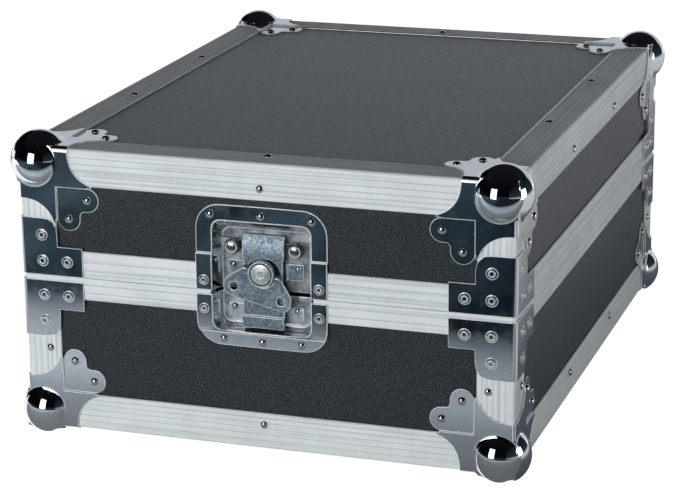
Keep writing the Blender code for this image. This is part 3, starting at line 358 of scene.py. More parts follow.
# The pan floor: a lighter, partly matt plate; its large light and dark blotches are a painted reflection.
PAN_PLATE = Plated("pan_painted_reflection", (0.10, 0.14, 0.17), (0.84, 0.88, 0.90), 0.16, 0.32, 75.0, 0.08, 0.70)
RIVET_STEEL = Plated("rivet_steel", (0.62, 0.64, 0.66), (0.78, 0.79, 0.80), 0.10, 0.20, 800.0)
# Dark steel for the springs and the spindle's neck, cam and tail, also used as painted shade on the steps of
# the ball corners.
DARK_STEEL = Plated("oiled_steel_and_shade", (0.10, 0.11, 0.12), (0.20, 0.22, 0.24), 0.22, 0.38, 500.0)
# Near black: painted shade in the rivets' holes and in the groove of the spindle head.
RECESS_SHADE = Plated("painted_recess_shade", (0.02, 0.02, 0.022), (0.05, 0.05, 0.055), 0.35, 0.5, 600.0)


class Finishes:
    """Every finish of the case, built once."""

    def __init__(self) -> None:
        """Build the materials."""
        self.laminate = Laminate().material()
        self.extrusion = {run: Anodised(run).material() for run in Run}
        # A darker aluminium: painted shade in the V grooves of the sections.
        self.groove_shade = Anodised(Run.UPRIGHT, (0.50, 0.53, 0.55), (0.64, 0.67, 0.69), name="groove_shade").material()
        self.chrome = CHROME.material()
        self.ball = BALL_CHROME.material()
        self.zinc = ZINC.material()
        # Copies of the zinc with painted shade and painted light, one for each latch part.
        self.hook = SHADED_ZINC.material()
        self.wing = HALF_SHADED_ZINC.material()
        self.pale = LIT_ZINC.material()
        # Painted highlight on the roundings of the braces, corners, dishes and latch parts.
        self.edge = EDGE_HIGHLIGHT.material()
        self.ring = RING_STEEL.material()
        self.pan = PAN_PLATE.material()
        self.rivet = RIVET_STEEL.material()
        self.oiled_and_shade = DARK_STEEL.material()
        self.recess_shade = RECESS_SHADE.material()
        self.foam = Foam().material()


def deselect() -> None:
    """Leave nothing selected."""
    bpy.ops.object.select_all(action="DESELECT")


def take(*pieces: bpy.types.Object) -> None:
    """Select these pieces alone, with the first one active.

    Args:
        pieces: what to select.
    """
    deselect()
    for piece in pieces:
        piece.select_set(True)
    bpy.context.view_layer.objects.active = pieces[0]


def added(name: str, make: Callable[..., Any], **settings: Any) -> bpy.types.Object:
    """Add a primitive with nothing else selected.

    Args:
        name: the new piece's name.
        make: the operator that adds it.
        settings: the operator's settings.

    Returns:
        The new piece, named, with its place in its mesh.
    """
    deselect()
    make(**settings)
    piece = bpy.context.object
    piece.name = name
    piece.data.name = name
    bpy.ops.object.transform_apply(location=True, rotation=True, scale=True)
    return piece


def shaped(piece: bpy.types.Object, *steps: Callable[[], Any]) -> None:
    """Run edit-mode steps on one piece, from nothing selected.

    Args:
        piece: the piece to shape.
        steps: what is done in edit mode, in order.
    """
    take(piece)
    bpy.ops.object.mode_set(mode="EDIT")
    bpy.ops.mesh.select_all(action="DESELECT")
    for step in steps:
        step()
    bpy.ops.object.mode_set(mode="OBJECT")


def pick_faces(test: Callable[[bmesh.types.BMFace], bool]) -> None:
    """Select, in edit mode, the faces that pass a test and no others.

    Args:
        test: what a face has to pass.
    """
    mesh = bpy.context.edit_object.data
    work = bmesh.from_edit_mesh(mesh)
    bpy.ops.mesh.select_all(action="DESELECT")
    for face in work.faces:
        face.select_set(test(face))
    bmesh.update_edit_mesh(mesh)


def pick_edges(test: Callable[[Vector, Vector], bool]) -> None:
    """Select, in edit mode, the edges whose ends pass a test and no others.

    Args:
        test: what an edge's two ends have to pass.
    """
    mesh = bpy.context.edit_object.data
    work = bmesh.from_edit_mesh(mesh)
    bpy.ops.mesh.select_mode(type="EDGE")
    bpy.ops.mesh.select_all(action="DESELECT")
    for edge in work.edges:
        edge.select_set(test(edge.verts[0].co, edge.verts[1].co))
    bmesh.update_edit_mesh(mesh)


def cut_away(place: Sequence[float], towards: Sequence[float], close: bool = True) -> None:
    """Cut off, in edit mode, all that lies beyond a plane.

    Args:
        place: a point of the plane.
        towards: the way that is cut off.
        close: whether the cut is closed with a face.
    """
    bpy.ops.mesh.select_mode(type="VERT")
    bpy.ops.mesh.select_all(action="SELECT")
    bpy.ops.mesh.bisect(plane_co=place, plane_no=towards, clear_outer=True, use_fill=close)


def applied(piece: bpy.types.Object, kind: str, **settings: Any) -> None:
    """Add a modifier and apply it.

    Args:
        piece: the piece that gets it.
        kind: the modifier's type.
        settings: the modifier's settings.
    """
    take(piece)
    modifier = piece.modifiers.new(kind.lower(), kind)
    for name, value in settings.items():
        setattr(modifier, name, value)
    bpy.ops.object.modifier_apply(modifier=modifier.name)


def painted(piece: bpy.types.Object, *finishes: bpy.types.Material) -> bpy.types.Object:
    """Give a piece these finishes in place of its own.

    Args:
        piece: the piece.
        finishes: the first is for all its faces, the second for the roundings that follow.

    Returns:
        The piece.
    """
    piece.data.materials.clear()
    for finish in finishes:
        piece.data.materials.append(finish)
    return piece


def flat_sides(piece: bpy.types.Object) -> None:
    """Let the large faces of a smooth piece look flat up to their roundings.

    Args:
        piece: the piece.
    """
    applied(piece, "WEIGHTED_NORMAL", mode="FACE_AREA", weight=100, keep_sharp=True)


def rounded_edges(piece: bpy.types.Object, width: float, segments: int = 2, angle: float = 30.0,
                  clamp: bool = True) -> None:
    """Round a piece's sharp edges and smooth it.

    Args:
        piece: the piece; its second finish, if it has one, goes on the roundings.
        width: the rounding's width in metres.
        segments: the steps of the rounding.
        angle: the sharpness, in degrees, from which an edge counts.
        clamp: whether the shortest edges limit the width.
    """
    applied(piece, "BEVEL", width=width, segments=segments, limit_method="ANGLE",
            angle_limit=math.radians(angle), material=1, use_clamp_overlap=clamp)
    take(piece)
    bpy.ops.object.shade_smooth_by_angle(angle=math.radians(60))
    flat_sides(piece)


def rounder_outlines(piece: bpy.types.Object, longest: float = 0.004) -> None:
    """Turn the corners of a plate's many-sided outline into short arcs.

    The corners are the short edges along an axis between two walls that meet at a slight angle.

    Args:
        piece: the plate.
        longest: the longest such edge in metres.
    """
    work = bmesh.new()
    work.from_mesh(piece.data)
    layer = work.edges.layers.float.new("bevel_weight_edge")
    for edge in work.edges:
        run = edge.verts[1].co - edge.verts[0].co
        if len(edge.link_faces) != 2 or not 0.0003 < run.length < longest:
            continue
        along = run.normalized()
        if max(abs(part) for part in along) < 0.9998:
            continue
        walls = all(abs(face.normal.dot(along)) < 0.02 for face in edge.link_faces)
        if walls and math.radians(3) < edge.calc_face_angle(0.0) < math.radians(44):
            edge[layer] = 1.0
    work.to_mesh(piece.data)
    work.free()
    applied(piece, "BEVEL", width_pct=42.0, offset_type="PERCENT", segments=3, limit_method="WEIGHT")


def cut_out(piece: bpy.types.Object, tool: bpy.types.Object) -> None:
    """Cut a tool's shape out of a piece, and remove the tool.

    Args:
        piece: the piece that is cut.
        tool: the shape to cut out.
    """
    applied(piece, "BOOLEAN", operation="DIFFERENCE", solver="EXACT", object=tool)
    bpy.data.objects.remove(tool)


def joined(name: str, pieces: Sequence[bpy.types.Object]) -> bpy.types.Object:
    """Join pieces in one object.

    Args:
        name: the joined piece's name.
        pieces: what to join.

    Returns:
        The joined piece.
    """
    take(*pieces)
    if len(pieces) > 1:
        bpy.ops.object.join()
    whole = bpy.context.object
    whole.name = name
    whole.data.name = name
    return whole


def copied(piece: bpy.types.Object, name: str, move: Matrix) -> bpy.types.Object:
    """Copy a piece with a mesh of its own, moved in its mesh.

    Args:
        piece: the piece to copy.
        name: the copy's name.
        move: where the copy goes.

    Returns:
        The copy.
    """
    mesh = piece.data.copy()
    mesh.name = name
    mesh.transform(move)
    if move.determinant() < 0:
        mesh.flip_normals()
    copy = bpy.data.objects.new(name, mesh)
    bpy.context.scene.collection.objects.link(copy)
    return copy


def ride(piece: bpy.types.Object, body: Body, slot: Slot, *nodes: str) -> bpy.types.Object:
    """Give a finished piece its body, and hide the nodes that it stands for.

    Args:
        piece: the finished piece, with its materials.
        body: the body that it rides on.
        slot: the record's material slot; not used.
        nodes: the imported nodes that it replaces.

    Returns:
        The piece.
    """
    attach(piece, body.value)
    if nodes:
        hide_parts(*nodes)
    log.info("piece %s: %d faces on %s", piece.name, len(piece.data.polygons), body.value)
    return piece


def dress(piece: bpy.types.Object, body: Body, slot: Slot, material: bpy.types.Material,
          *nodes: str) -> bpy.types.Object:
    """Give a finished piece its material, its body and the nodes that it stands for.

    Args:
        piece: the finished piece.
        body: the body that it rides on.
        slot: the record's material slot.
        material: its finish.
        nodes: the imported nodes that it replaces.

    Returns:
        The piece.
    """
    return ride(painted(piece, material), body, slot, *nodes)


@dataclass(frozen=True)
class CaseBox:
    """The case's outer planes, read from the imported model."""

    left: float
    right: float
    front: float
    rear: float
    bottom: float
    top: float
    parting: float

    @classmethod
    def from_frame(cls) -> "CaseBox":
        """Read the planes from the edge extrusions and the lid's hinge."""
        left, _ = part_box("base_left_edge")
        _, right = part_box("base_right_edge")
        front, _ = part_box("base_front_edge")
        _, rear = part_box("base_rear_edge")
        _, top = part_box("lid_front_edge")
        hinge = next(joint for joint in frame["joints"] if joint["name"] == "lid_hinge")
        return cls(left[0], right[0], front[1], rear[1], front[2], top[2], hinge["pos_m"][2])


@dataclass
class DressedNodes:
    """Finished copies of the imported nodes: same shapes, with their edges rounded."""

    finishes: Finishes
    case: CaseBox
    plate_rounding: float = 0.0004
    section_rounding: float = 0.0004
    lip: float = 0.0009
    groove_shade_depths: tuple[float, float] = (0.00006, 0.0006)
    arris: float = 0.004

    def copy_of(self, node: str, name: str, rounding: float, segments: int = 2, outline: bool = False,
                finishes: Sequence[bpy.types.Material] = (), clamp: bool = True, split: bool = False,
                merged: bool = True) -> bpy.types.Object:
        """Copy a node, merge its loose triangles and round its edges.

        Args:
            node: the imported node.
            name: the new piece's name.
            rounding: the rounding's width in metres.
            segments: the steps of the rounding.
            outline: whether the round parts of its outline get more steps.
            finishes: its finish and that of its roundings.
            clamp: whether its shortest edges limit the rounding.
            split: whether its hollow outlines are split before the rounding.
            merged: whether its flat faces are merged before the rounding.

        Returns:
            The rounded copy.
        """
        piece = painted(copied(frame["nodes"][node], name, Matrix.Identity(4)), *finishes)
        shaped(
            piece,
            lambda: bpy.ops.mesh.select_all(action="SELECT"),
            lambda: bpy.ops.mesh.remove_doubles(threshold=0.00001),
        )
        if merged:
            shaped(
                piece,
                lambda: bpy.ops.mesh.select_all(action="SELECT"),
                lambda: bpy.ops.mesh.dissolve_limited(angle_limit=math.radians(0.4)),
            )
        if outline:
            rounder_outlines(piece)
        if split:
            shaped(
                piece,
                lambda: bpy.ops.mesh.select_all(action="SELECT"),
                lambda: bpy.ops.mesh.vert_connect_concave(),
            )
        rounded_edges(piece, rounding, segments, clamp=clamp)
        return piece

    def panels(self) -> None:
        """Give the ten laminate panels their finish; their shapes stay."""
        for name, node in frame["nodes"].items():
            if name.endswith("_panel"):
                node.data.materials.clear()
                node.data.materials.append(self.finishes.laminate)

    def sections(self) -> None:
        """Copy the edges, posts and closing frames of aluminium."""
        for half, body in (("base", Body.BASE), ("lid", Body.LID)):
            for side in ("front", "rear", "left", "right"):
                run, axis = (Run.ACROSS, 1) if side in ("front", "rear") else (Run.DEEP, 0)
                piece = self.copy_of(f"{half}_{side}_edge", f"{half}_{side}_extrusion", self.section_rounding)
                # The grooves take painted shade; the rivet steel is a painted highlight on the lips of the
                # lid's right and rear edges.
                painted(piece, self.finishes.extrusion[run], self.finishes.groove_shade, self.finishes.rivet)
                self.shade_grooves(piece, 1)
                if half == "lid" and side in ("right", "rear"):
                    self.lip_highlight(piece, axis, 2)
                ride(piece, body, Slot.EXTRUSION, f"{half}_{side}_edge")
            for corner in ("front_left", "front_right", "rear_left", "rear_right"):
                node = f"{half}_post_{corner}"
                piece = self.copy_of(node, f"{half}_upright_{corner}", self.section_rounding)
                painted(piece, self.finishes.extrusion[Run.UPRIGHT], self.finishes.groove_shade)
                self.shade_grooves(piece, 1)
                ride(piece, body, Slot.EXTRUSION, node)
            self.rim(half, body)

    def shade_grooves(self, piece: bpy.types.Object, index: int) -> None:
        """Paint shade on the faces that lie a little under one of the case's planes, in the V grooves.

        Args:
            piece: the finished section.
            index: the place of the grooves' painted shade among the section's own.
        """
        case, (least, most) = self.case, self.groove_shade_depths
        for face in piece.data.polygons:
            place = face.center
            depths = sorted((place.x - case.left, case.right - place.x, place.y - case.front,
                             case.rear - place.y, place.z - case.bottom, case.top - place.z))
            if least < depths[0] < most and depths[1] > self.arris:
                face.material_index = index

    def lip_highlight(self, piece: bpy.types.Object, axis: int, index: int) -> None:
        """Paint a highlight on the lip of a lid edge's flat leg, next to the top panel.

        Args:
            piece: the finished edge.
            axis: 0 or 1, the way that its flat leg reaches over the case.
            index: the place of the painted highlight's finish among the edge's own.
        """
        flat = [vertex.co[axis] for vertex in piece.data.vertices if vertex.co.z > self.case.top - 0.0003]
        inner = min(flat, key=abs)
        cut, way = Vector((0, 0, 0)), Vector((0, 0, 0))
        cut[axis], way[axis] = inner + math.copysign(self.lip, inner), 1.0
        shaped(
            piece,
            lambda: bpy.ops.mesh.select_all(action="SELECT"),
            lambda: bpy.ops.mesh.bisect(plane_co=cut, plane_no=way),
        )
        take(piece)
        bpy.ops.mesh.customdata_custom_splitnormals_clear()
        flat_sides(piece)
        for face in piece.data.polygons:
            if face.center.z > self.case.top - 0.0012 and abs(face.center[axis]) < abs(cut[axis]):
                face.material_index = index

    def rim(self, half: str, body: Body) -> None:
        """Copy one closing frame, with the drawn grain along each of its sides.

        Args:
            half: base or lid.
            body: the body that it rides on.
        """
        node = f"{half}_rim_frame"
        piece = self.copy_of(node, f"{half}_closing_frame", self.section_rounding, merged=False)
        dress(piece, body, Slot.EXTRUSION, self.finishes.extrusion[Run.ACROSS], node)
        piece.data.materials.append(self.finishes.extrusion[Run.DEEP])
        low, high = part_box(node)
        wide, deep = high[0] - low[0], high[1] - low[1]
        for face in piece.data.polygons:
            to_side = wide / 2 - abs(face.center.x - (low[0] + high[0]) / 2)
            to_end = deep / 2 - abs(face.center.y - (low[1] + high[1]) / 2)
            face.material_index = 1 if to_side < to_end else 0
        piece.data.materials.append(self.finishes.groove_shade)
        self.shade_grooves(piece, 2)

    def braces(self) -> None:
        """Copy the eight chromed corner braces."""
        for half, body in (("base", Body.BASE), ("lid", Body.LID)):
            for corner in ("front_left", "front_right", "rear_left", "rear_right"):
                node = f"brace_{half}_{corner}"
                piece = self.copy_of(node, f"corner_brace_{half}_{corner}", self.plate_rounding, 3, True,
                                     (self.finishes.chrome, self.finishes.edge), False, True)
                ride(piece, body, Slot.CHROME, node)

    def hinges(self) -> None:
        """Copy the leaves of the two rear hinges."""
        for half, body in (("base", Body.BASE), ("lid", Body.LID)):
            for side in ("left", "right"):
                node = f"hinge_{half}_leaf_{side}"
                piece = self.copy_of(node, f"rear_hinge_{half}_{side}", 0.0002)
                dress(piece, body, Slot.ZINC, self.finishes.zinc, node)

    def build(self) -> None:
        """Dress every node whose shape is kept."""
        self.panels()
        self.sections()
        self.braces()
        self.hinges()


@dataclass
class BallCorners:
    """The chromed ball corners: pressed plates run into a smooth ball."""

    dressed: DressedNodes
    case: CaseBox
    ball_radius: float = 0.02335
    inset: float = 0.0128
    plate_out: float = 0.0015
    neck_radius: float = 0.0050
    neck_sunk: float = 0.00004
    rounding: float = 0.0005
    step_height: float = 0.0019
    step_length: float = 0.025

    def plates(self) -> bpy.types.Object:
        """Finish the pressed plates of the front left corner of the lid.

        Returns:
            The plates, with painted shade on the walls of the steps to the ears.
        """
        finishes = self.dressed.finishes
        plates = self.dressed.copy_of("ball_corner_lid_front_left", "corner_plates", self.rounding, 3, True,
                                      (finishes.chrome, finishes.edge), False)
        # The walls of the steps take the dark steel as painted shade.
        plates.data.materials.append(finishes.oiled_and_shade)
        for face in plates.data.polygons:
            corners = [plates.data.vertices[number].co for number in face.vertices]
            sides = sorted(max(place[axis] for place in corners) - min(place[axis] for place in corners)
                           for axis in range(3))
            if sides[0] < 0.00001 and sides[1] < self.step_height and sides[2] > self.step_length:
                face.material_index = 2
        return plates

    def ball(self) -> bpy.types.Object:
        """Model the smooth ball of that corner, with its three necks.

        Returns:
            The ball and its necks as one piece.
        """
        centre = (self.case.left + self.inset, self.case.front + self.inset, self.case.top - self.inset)
        ball = added("corner_ball", bpy.ops.mesh.primitive_uv_sphere_add, segments=96, ring_count=48,
                     radius=self.ball_radius, location=centre)
        shaped(ball, lambda: self.trim(centre))
        take(ball)
        bpy.ops.object.shade_smooth_by_angle(angle=math.radians(30))
        necks = [self.neck(Vector(centre), *faces) for faces in (
            (Vector((0, 0, 1)), Vector((-1, 0, 0)), Vector((0, -1, 0))),
            (Vector((0, -1, 0)), Vector((0, 0, 1)), Vector((-1, 0, 0))),
            (Vector((-1, 0, 0)), Vector((0, -1, 0)), Vector((0, 0, 1))))]
        return painted(joined("corner_ball", [ball, *necks]), self.dressed.finishes.ball)

    def neck(self, centre: Vector, across: Vector, along: Vector, facing: Vector) -> bpy.types.Object:
        """Model the hollow neck that runs the ball into one plate.

        It is the part of a ring that touches the ball and the plate, cut where the next necks begin.

        Args:
            centre: the ball's middle.
            across: the outward way of the second plate.
            along: the outward way of the third plate.
            facing: the outward way of this plate.

        Returns:
            The neck, as a thin closed sheet.
        """
        radius, lift = self.neck_radius, self.inset + self.plate_out + self.neck_radius
        ring = math.sqrt((self.ball_radius - self.neck_sunk + radius) ** 2 - lift ** 2)
        neck = added("corner_neck", bpy.ops.mesh.primitive_torus_add, major_radius=ring,
                     minor_radius=radius, major_segments=120, minor_segments=64)
        lean = math.atan2(lift, ring)

        def outside(face: bmesh.types.BMFace) -> bool:
            """Whether a face lies beyond the ball or the plate."""
            middle = face.calc_center_median()
            angle = math.atan2(-middle.z, ring - math.hypot(middle.x, middle.y))
            return not lean - 0.05 < angle < math.pi / 2

        shaped(
            neck,
            lambda: pick_faces(outside),
            lambda: bpy.ops.mesh.delete(type="FACE"),
            lambda: bpy.ops.mesh.select_all(action="SELECT"),
            lambda: bpy.ops.transform.translate(value=(0, 0, lift)),
            lambda: cut_away((0, 0, 0), (1, 0, -1), False),
            lambda: cut_away((0, 0, 0), (0, 1, -1), False),
            lambda: bpy.ops.mesh.select_all(action="SELECT"),
            lambda: bpy.ops.mesh.flip_normals(),
        )
        applied(neck, "SOLIDIFY", thickness=0.0005, offset=-1.0)
        take(neck)
        bpy.ops.object.shade_smooth_by_angle(angle=math.radians(40))
        turn = Matrix((across, along, facing)).transposed().to_4x4()
        neck.data.transform(Matrix.Translation(centre + facing * 0.00003) @ turn)
        return neck

    def trim(self, centre: Place) -> None:
        """Cut off the part of the ball that would lie inside the case.

        Args:
            centre: the ball's middle.
        """
        inward = Vector((1.0, 1.0, -1.0)).normalized()
        cut_away(Vector(centre) + inward * self.ball_radius * 0.5, inward)

    def build(self) -> None:
        """Copy the corner to all eight places."""
        plates, ball = self.plates(), self.ball()
        middle = Vector(((self.case.left + self.case.right) / 2, (self.case.front + self.case.rear) / 2,
                         (self.case.bottom + self.case.top) / 2))
        for half, body, up in (("base", Body.BASE, -1), ("lid", Body.LID, 1)):
            for end, deep in (("front", 1), ("rear", -1)):
                for side, wide in (("left", 1), ("right", -1)):
                    mirror = Matrix.Diagonal((wide, deep, up, 1.0))
                    move = Matrix.Translation(middle) @ mirror @ Matrix.Translation(-middle)
                    node = f"ball_corner_{half}_{end}_{side}"
                    name = f"plated_corner_{half}_{end}_{side}"
                    sheet = copied(plates, name, move)
                    take(sheet)
                    bpy.ops.mesh.customdata_custom_splitnormals_clear()
                    flat_sides(sheet)
                    piece = joined(name, [sheet, copied(ball, f"{name}_ball", move)])
                    ride(piece, body, Slot.CHROME, node)
        bpy.data.objects.remove(plates)
        bpy.data.objects.remove(ball)


@dataclass
class Spot:
    """Where a rivet sits: a point, the way its head faces, its kind, its size and its height."""

    place: Vector
    facing: Vector
    kind: RivetKind = RivetKind.SOLID
    size: float = 1.0
    height: float = 1.0


@dataclass
class Rivets:
    """Domed and hollow rivets, modelled once each and copied to every plate."""

    finishes: Finishes
    case: CaseBox
    dome_radius: float = 0.0033
    dome_height: float = 0.0020
    flange_radius: float = 0.0049
    ear_far: float = 0.0573
    ear_near: float = 0.0412
    ear_depth: float = 0.0003
    brace_proud: float = 0.0015
    brace_spots: tuple[tuple[float, float], ...] = ((0.0179, 0.0122), (0.0390, 0.0122), (0.0179, 0.0335))
    base_brace_drop: float = 0.004
    leg_rivet: float = 0.0205
    side_rivets: tuple[float, float] = (0.188, 0.344)
    post_rivet: float = 0.067
    prototypes: dict[RivetKind, bpy.types.Object] = field(default_factory=dict)
    chance: random.Random = field(default_factory=lambda: random.Random(11))

    def solid(self) -> bpy.types.Object:
        """Model the domed rivet: a ball's cap with a thin foot.

        Returns:
            The rivet, standing on its origin along +Z.
        """
        rivet = added("solid_rivet", bpy.ops.mesh.primitive_uv_sphere_add, segments=20, ring_count=12,
                      radius=self.dome_radius)
        shaped(
            rivet,
            lambda: cut_away((0, 0, 0), (0, 0, -1)),
            lambda: bpy.ops.mesh.select_all(action="SELECT"),
            lambda: bpy.ops.transform.resize(value=(1, 1, self.dome_height / self.dome_radius),
                                             center_override=(0, 0, 0)),
            lambda: pick_faces(lambda face: face.normal.z < -0.9),
            lambda: bpy.ops.mesh.extrude_region_move(),
            lambda: bpy.ops.transform.resize(value=(1.22, 1.22, 1.0), center_override=(0, 0, 0)),
            lambda: bpy.ops.mesh.extrude_region_move(TRANSFORM_OT_translate={"value": (0, 0, -0.0002)}),
            lambda: bpy.ops.mesh.select_all(action="SELECT"),
            lambda: bpy.ops.transform.translate(value=(0, 0, 0.00015)),
        )
        take(rivet)
        bpy.ops.object.shade_smooth_by_angle(angle=math.radians(50))
        rivet.data.materials.append(self.finishes.rivet)
        return rivet

    def hollow(self) -> bpy.types.Object:
        """Model the hollow rivet: a low flange, a rolled ring and a hole with painted shade.

        Returns:
            The rivet, standing on its origin along +Z.
        """
        rivet = added("hollow_rivet", bpy.ops.mesh.primitive_cylinder_add, vertices=28,
                      radius=self.flange_radius, depth=0.0004, location=(0, 0, 0.0001))
        rings = ((0.0003, 0.0002), (0.0004, 0.0001), (0.0011, 0.0), (0.0001, 0.0004), (0.00035, 0.0003),
                 (0.0004, 0.0001), (0.0004, -0.0001), (0.00025, -0.0004), (0.0001, -0.0016))

        def roll() -> None:
            """Inset the top face ring by ring, each at its own height."""
            pick_faces(lambda face: face.normal.z > 0.9)
            for inward, rise in rings:
                bpy.ops.mesh.inset(thickness=inward)
                bpy.ops.transform.translate(value=(0, 0, rise))

        shaped(rivet, roll)
        take(rivet)
        bpy.ops.object.shade_smooth_by_angle(angle=math.radians(60))
        painted(rivet, self.finishes.ring, self.finishes.recess_shade, self.finishes.chrome)
        # Painted shade in the hole; the band round the ring is chrome.
        for face in rivet.data.polygons:
            reach = math.hypot(face.center.x, face.center.y)
            if reach < 0.00165 and face.center.z < 0.0009:
                face.material_index = 1
            elif 0.0030 < reach < 0.0043:
                face.material_index = 2
        return rivet

    def place_all(self, name: str, body: Body, spots: Sequence[Spot]) -> bpy.types.Object:
        """Copy rivets to their spots and join them.

        Args:
            name: the joined piece's name.
            body: the body that they ride on.
            spots: where they sit.

        Returns:
            The joined rivets.
        """
        pieces = []
        for number, spot in enumerate(spots):
            turn = Matrix.Rotation(self.chance.uniform(0, math.tau), 4, "Z")
            lean = Matrix.Rotation(math.radians(self.chance.uniform(-1.5, 1.5)), 4, "X")
            stand = spot.facing.to_track_quat("Z", "Y").to_matrix().to_4x4()
            size = Matrix.Diagonal((spot.size, spot.size, spot.size * spot.height, 1.0))
            move = Matrix.Translation(spot.place) @ stand @ turn @ lean @ size
            pieces.append(copied(self.prototypes[spot.kind], f"{name}_{number}", move))
        return ride(joined(name, pieces), body, Slot.ZINC)

    def corner_spots(self, wide: int, deep: int, up: int) -> list[Spot]:
        """The six rivets of one ball corner.

        Args:
            wide: -1 for left, 1 for right.
            deep: -1 for front, 1 for rear.
            up: -1 for the base, 1 for the lid.

        Returns:
            The spots.
        """
        arris = Vector((self.case.left if wide < 0 else self.case.right,
                        self.case.front if deep < 0 else self.case.rear,
                        self.case.bottom if up < 0 else self.case.top))
        outward = (Vector((wide, 0, 0)), Vector((0, deep, 0)), Vector((0, 0, up)))
        spots = []
        for facing in range(3):
            first, second = (outward[axis] for axis in range(3) if axis != facing)
            for one, other in ((self.ear_far, self.ear_near), (self.ear_near, self.ear_far)):
                place = arris - first * one - second * other - outward[facing] * self.ear_depth
                spots.append(Spot(place, outward[facing]))
        return spots

    def brace_rivets(self, wide: int, deep: int, up: int) -> list[Spot]:
        """The six hollow rivets of one corner brace.

        Args:
            wide: -1 for left, 1 for right.
            deep: -1 for front, 1 for rear.
            up: -1 for the base, 1 for the lid.

        Returns:
            The spots.
        """
        drop = self.base_brace_drop if up < 0 else 0.0
        across, back = Vector((wide, 0, 0)), Vector((0, deep, 0))
        arris = Vector((self.case.left if wide < 0 else self.case.right,
                        self.case.front if deep < 0 else self.case.rear, self.case.parting))
        spots = []
        for facing, along in ((back, across), (across, back)):
            for inward, rise in self.brace_spots:
                lift = Vector((0, 0, up * (rise + drop)))
                place = arris - along * inward + lift + facing * self.brace_proud
                spots.append(Spot(place, facing, RivetKind.HOLLOW))
        return spots

    def edge_spots(self, up: int) -> list[Spot]:
        """The rivets along the four edges of one half.

        Args:
            up: -1 for the base, 1 for the lid.

        Returns:
            The spots.
        """
        case, inward = self.case, self.leg_rivet
        level = case.bottom if up < 0 else case.top
        spots = []
        for deep, plane in ((-1, case.front), (1, case.rear)):
            spots.append(Spot(Vector((0, plane, level - up * inward)), Vector((0, deep, 0))))
            spots.append(Spot(Vector((0, plane - deep * inward, level)), Vector((0, 0, up))))
        for wide, plane in ((-1, case.left), (1, case.right)):
            for back in self.side_rivets:
                along = case.front + back
                spots.append(Spot(Vector((plane, along, level - up * inward)), Vector((wide, 0, 0))))
                spots.append(Spot(Vector((plane - wide * inward, along, level)), Vector((0, 0, up))))
        return spots

    def post_spots(self) -> list[Spot]:
        """The rivets of the base's four uprights.

        Returns:
            The spots.
        """
        case = self.case
        height = case.bottom + self.post_rivet
        spots = []
        for wide, side in ((-1, case.left), (1, case.right)):
            for deep, plane in ((-1, case.front), (1, case.rear)):
                inward = self.leg_rivet
                spots.append(Spot(Vector((side - wide * inward, plane, height)), Vector((0, deep, 0))))
                spots.append(Spot(Vector((side, plane - deep * inward, height)), Vector((wide, 0, 0))))
        return spots

    def build(self) -> None:
        """Model both rivets and set them on the corners, braces, edges and posts."""
        self.prototypes = {RivetKind.SOLID: self.solid(), RivetKind.HOLLOW: self.hollow()}
        for half, body, up in (("base", Body.BASE, -1), ("lid", Body.LID, 1)):
            for end, deep in (("front", -1), ("rear", 1)):
                for side, wide in (("left", -1), ("right", 1)):
                    corner = f"{half}_{end}_{side}"
                    self.place_all(f"corner_rivets_{corner}", body, self.corner_spots(wide, deep, up))
                    self.place_all(f"brace_rivets_{corner}", body, self.brace_rivets(wide, deep, up))
            self.place_all(f"edge_rivets_{half}", body, self.edge_spots(up))
        self.place_all("post_rivets_base", Body.BASE, self.post_spots())

    def clear(self) -> None:
        """Remove the two rivets that were copied."""
        for rivet in self.prototypes.values():
            bpy.data.objects.remove(rivet)


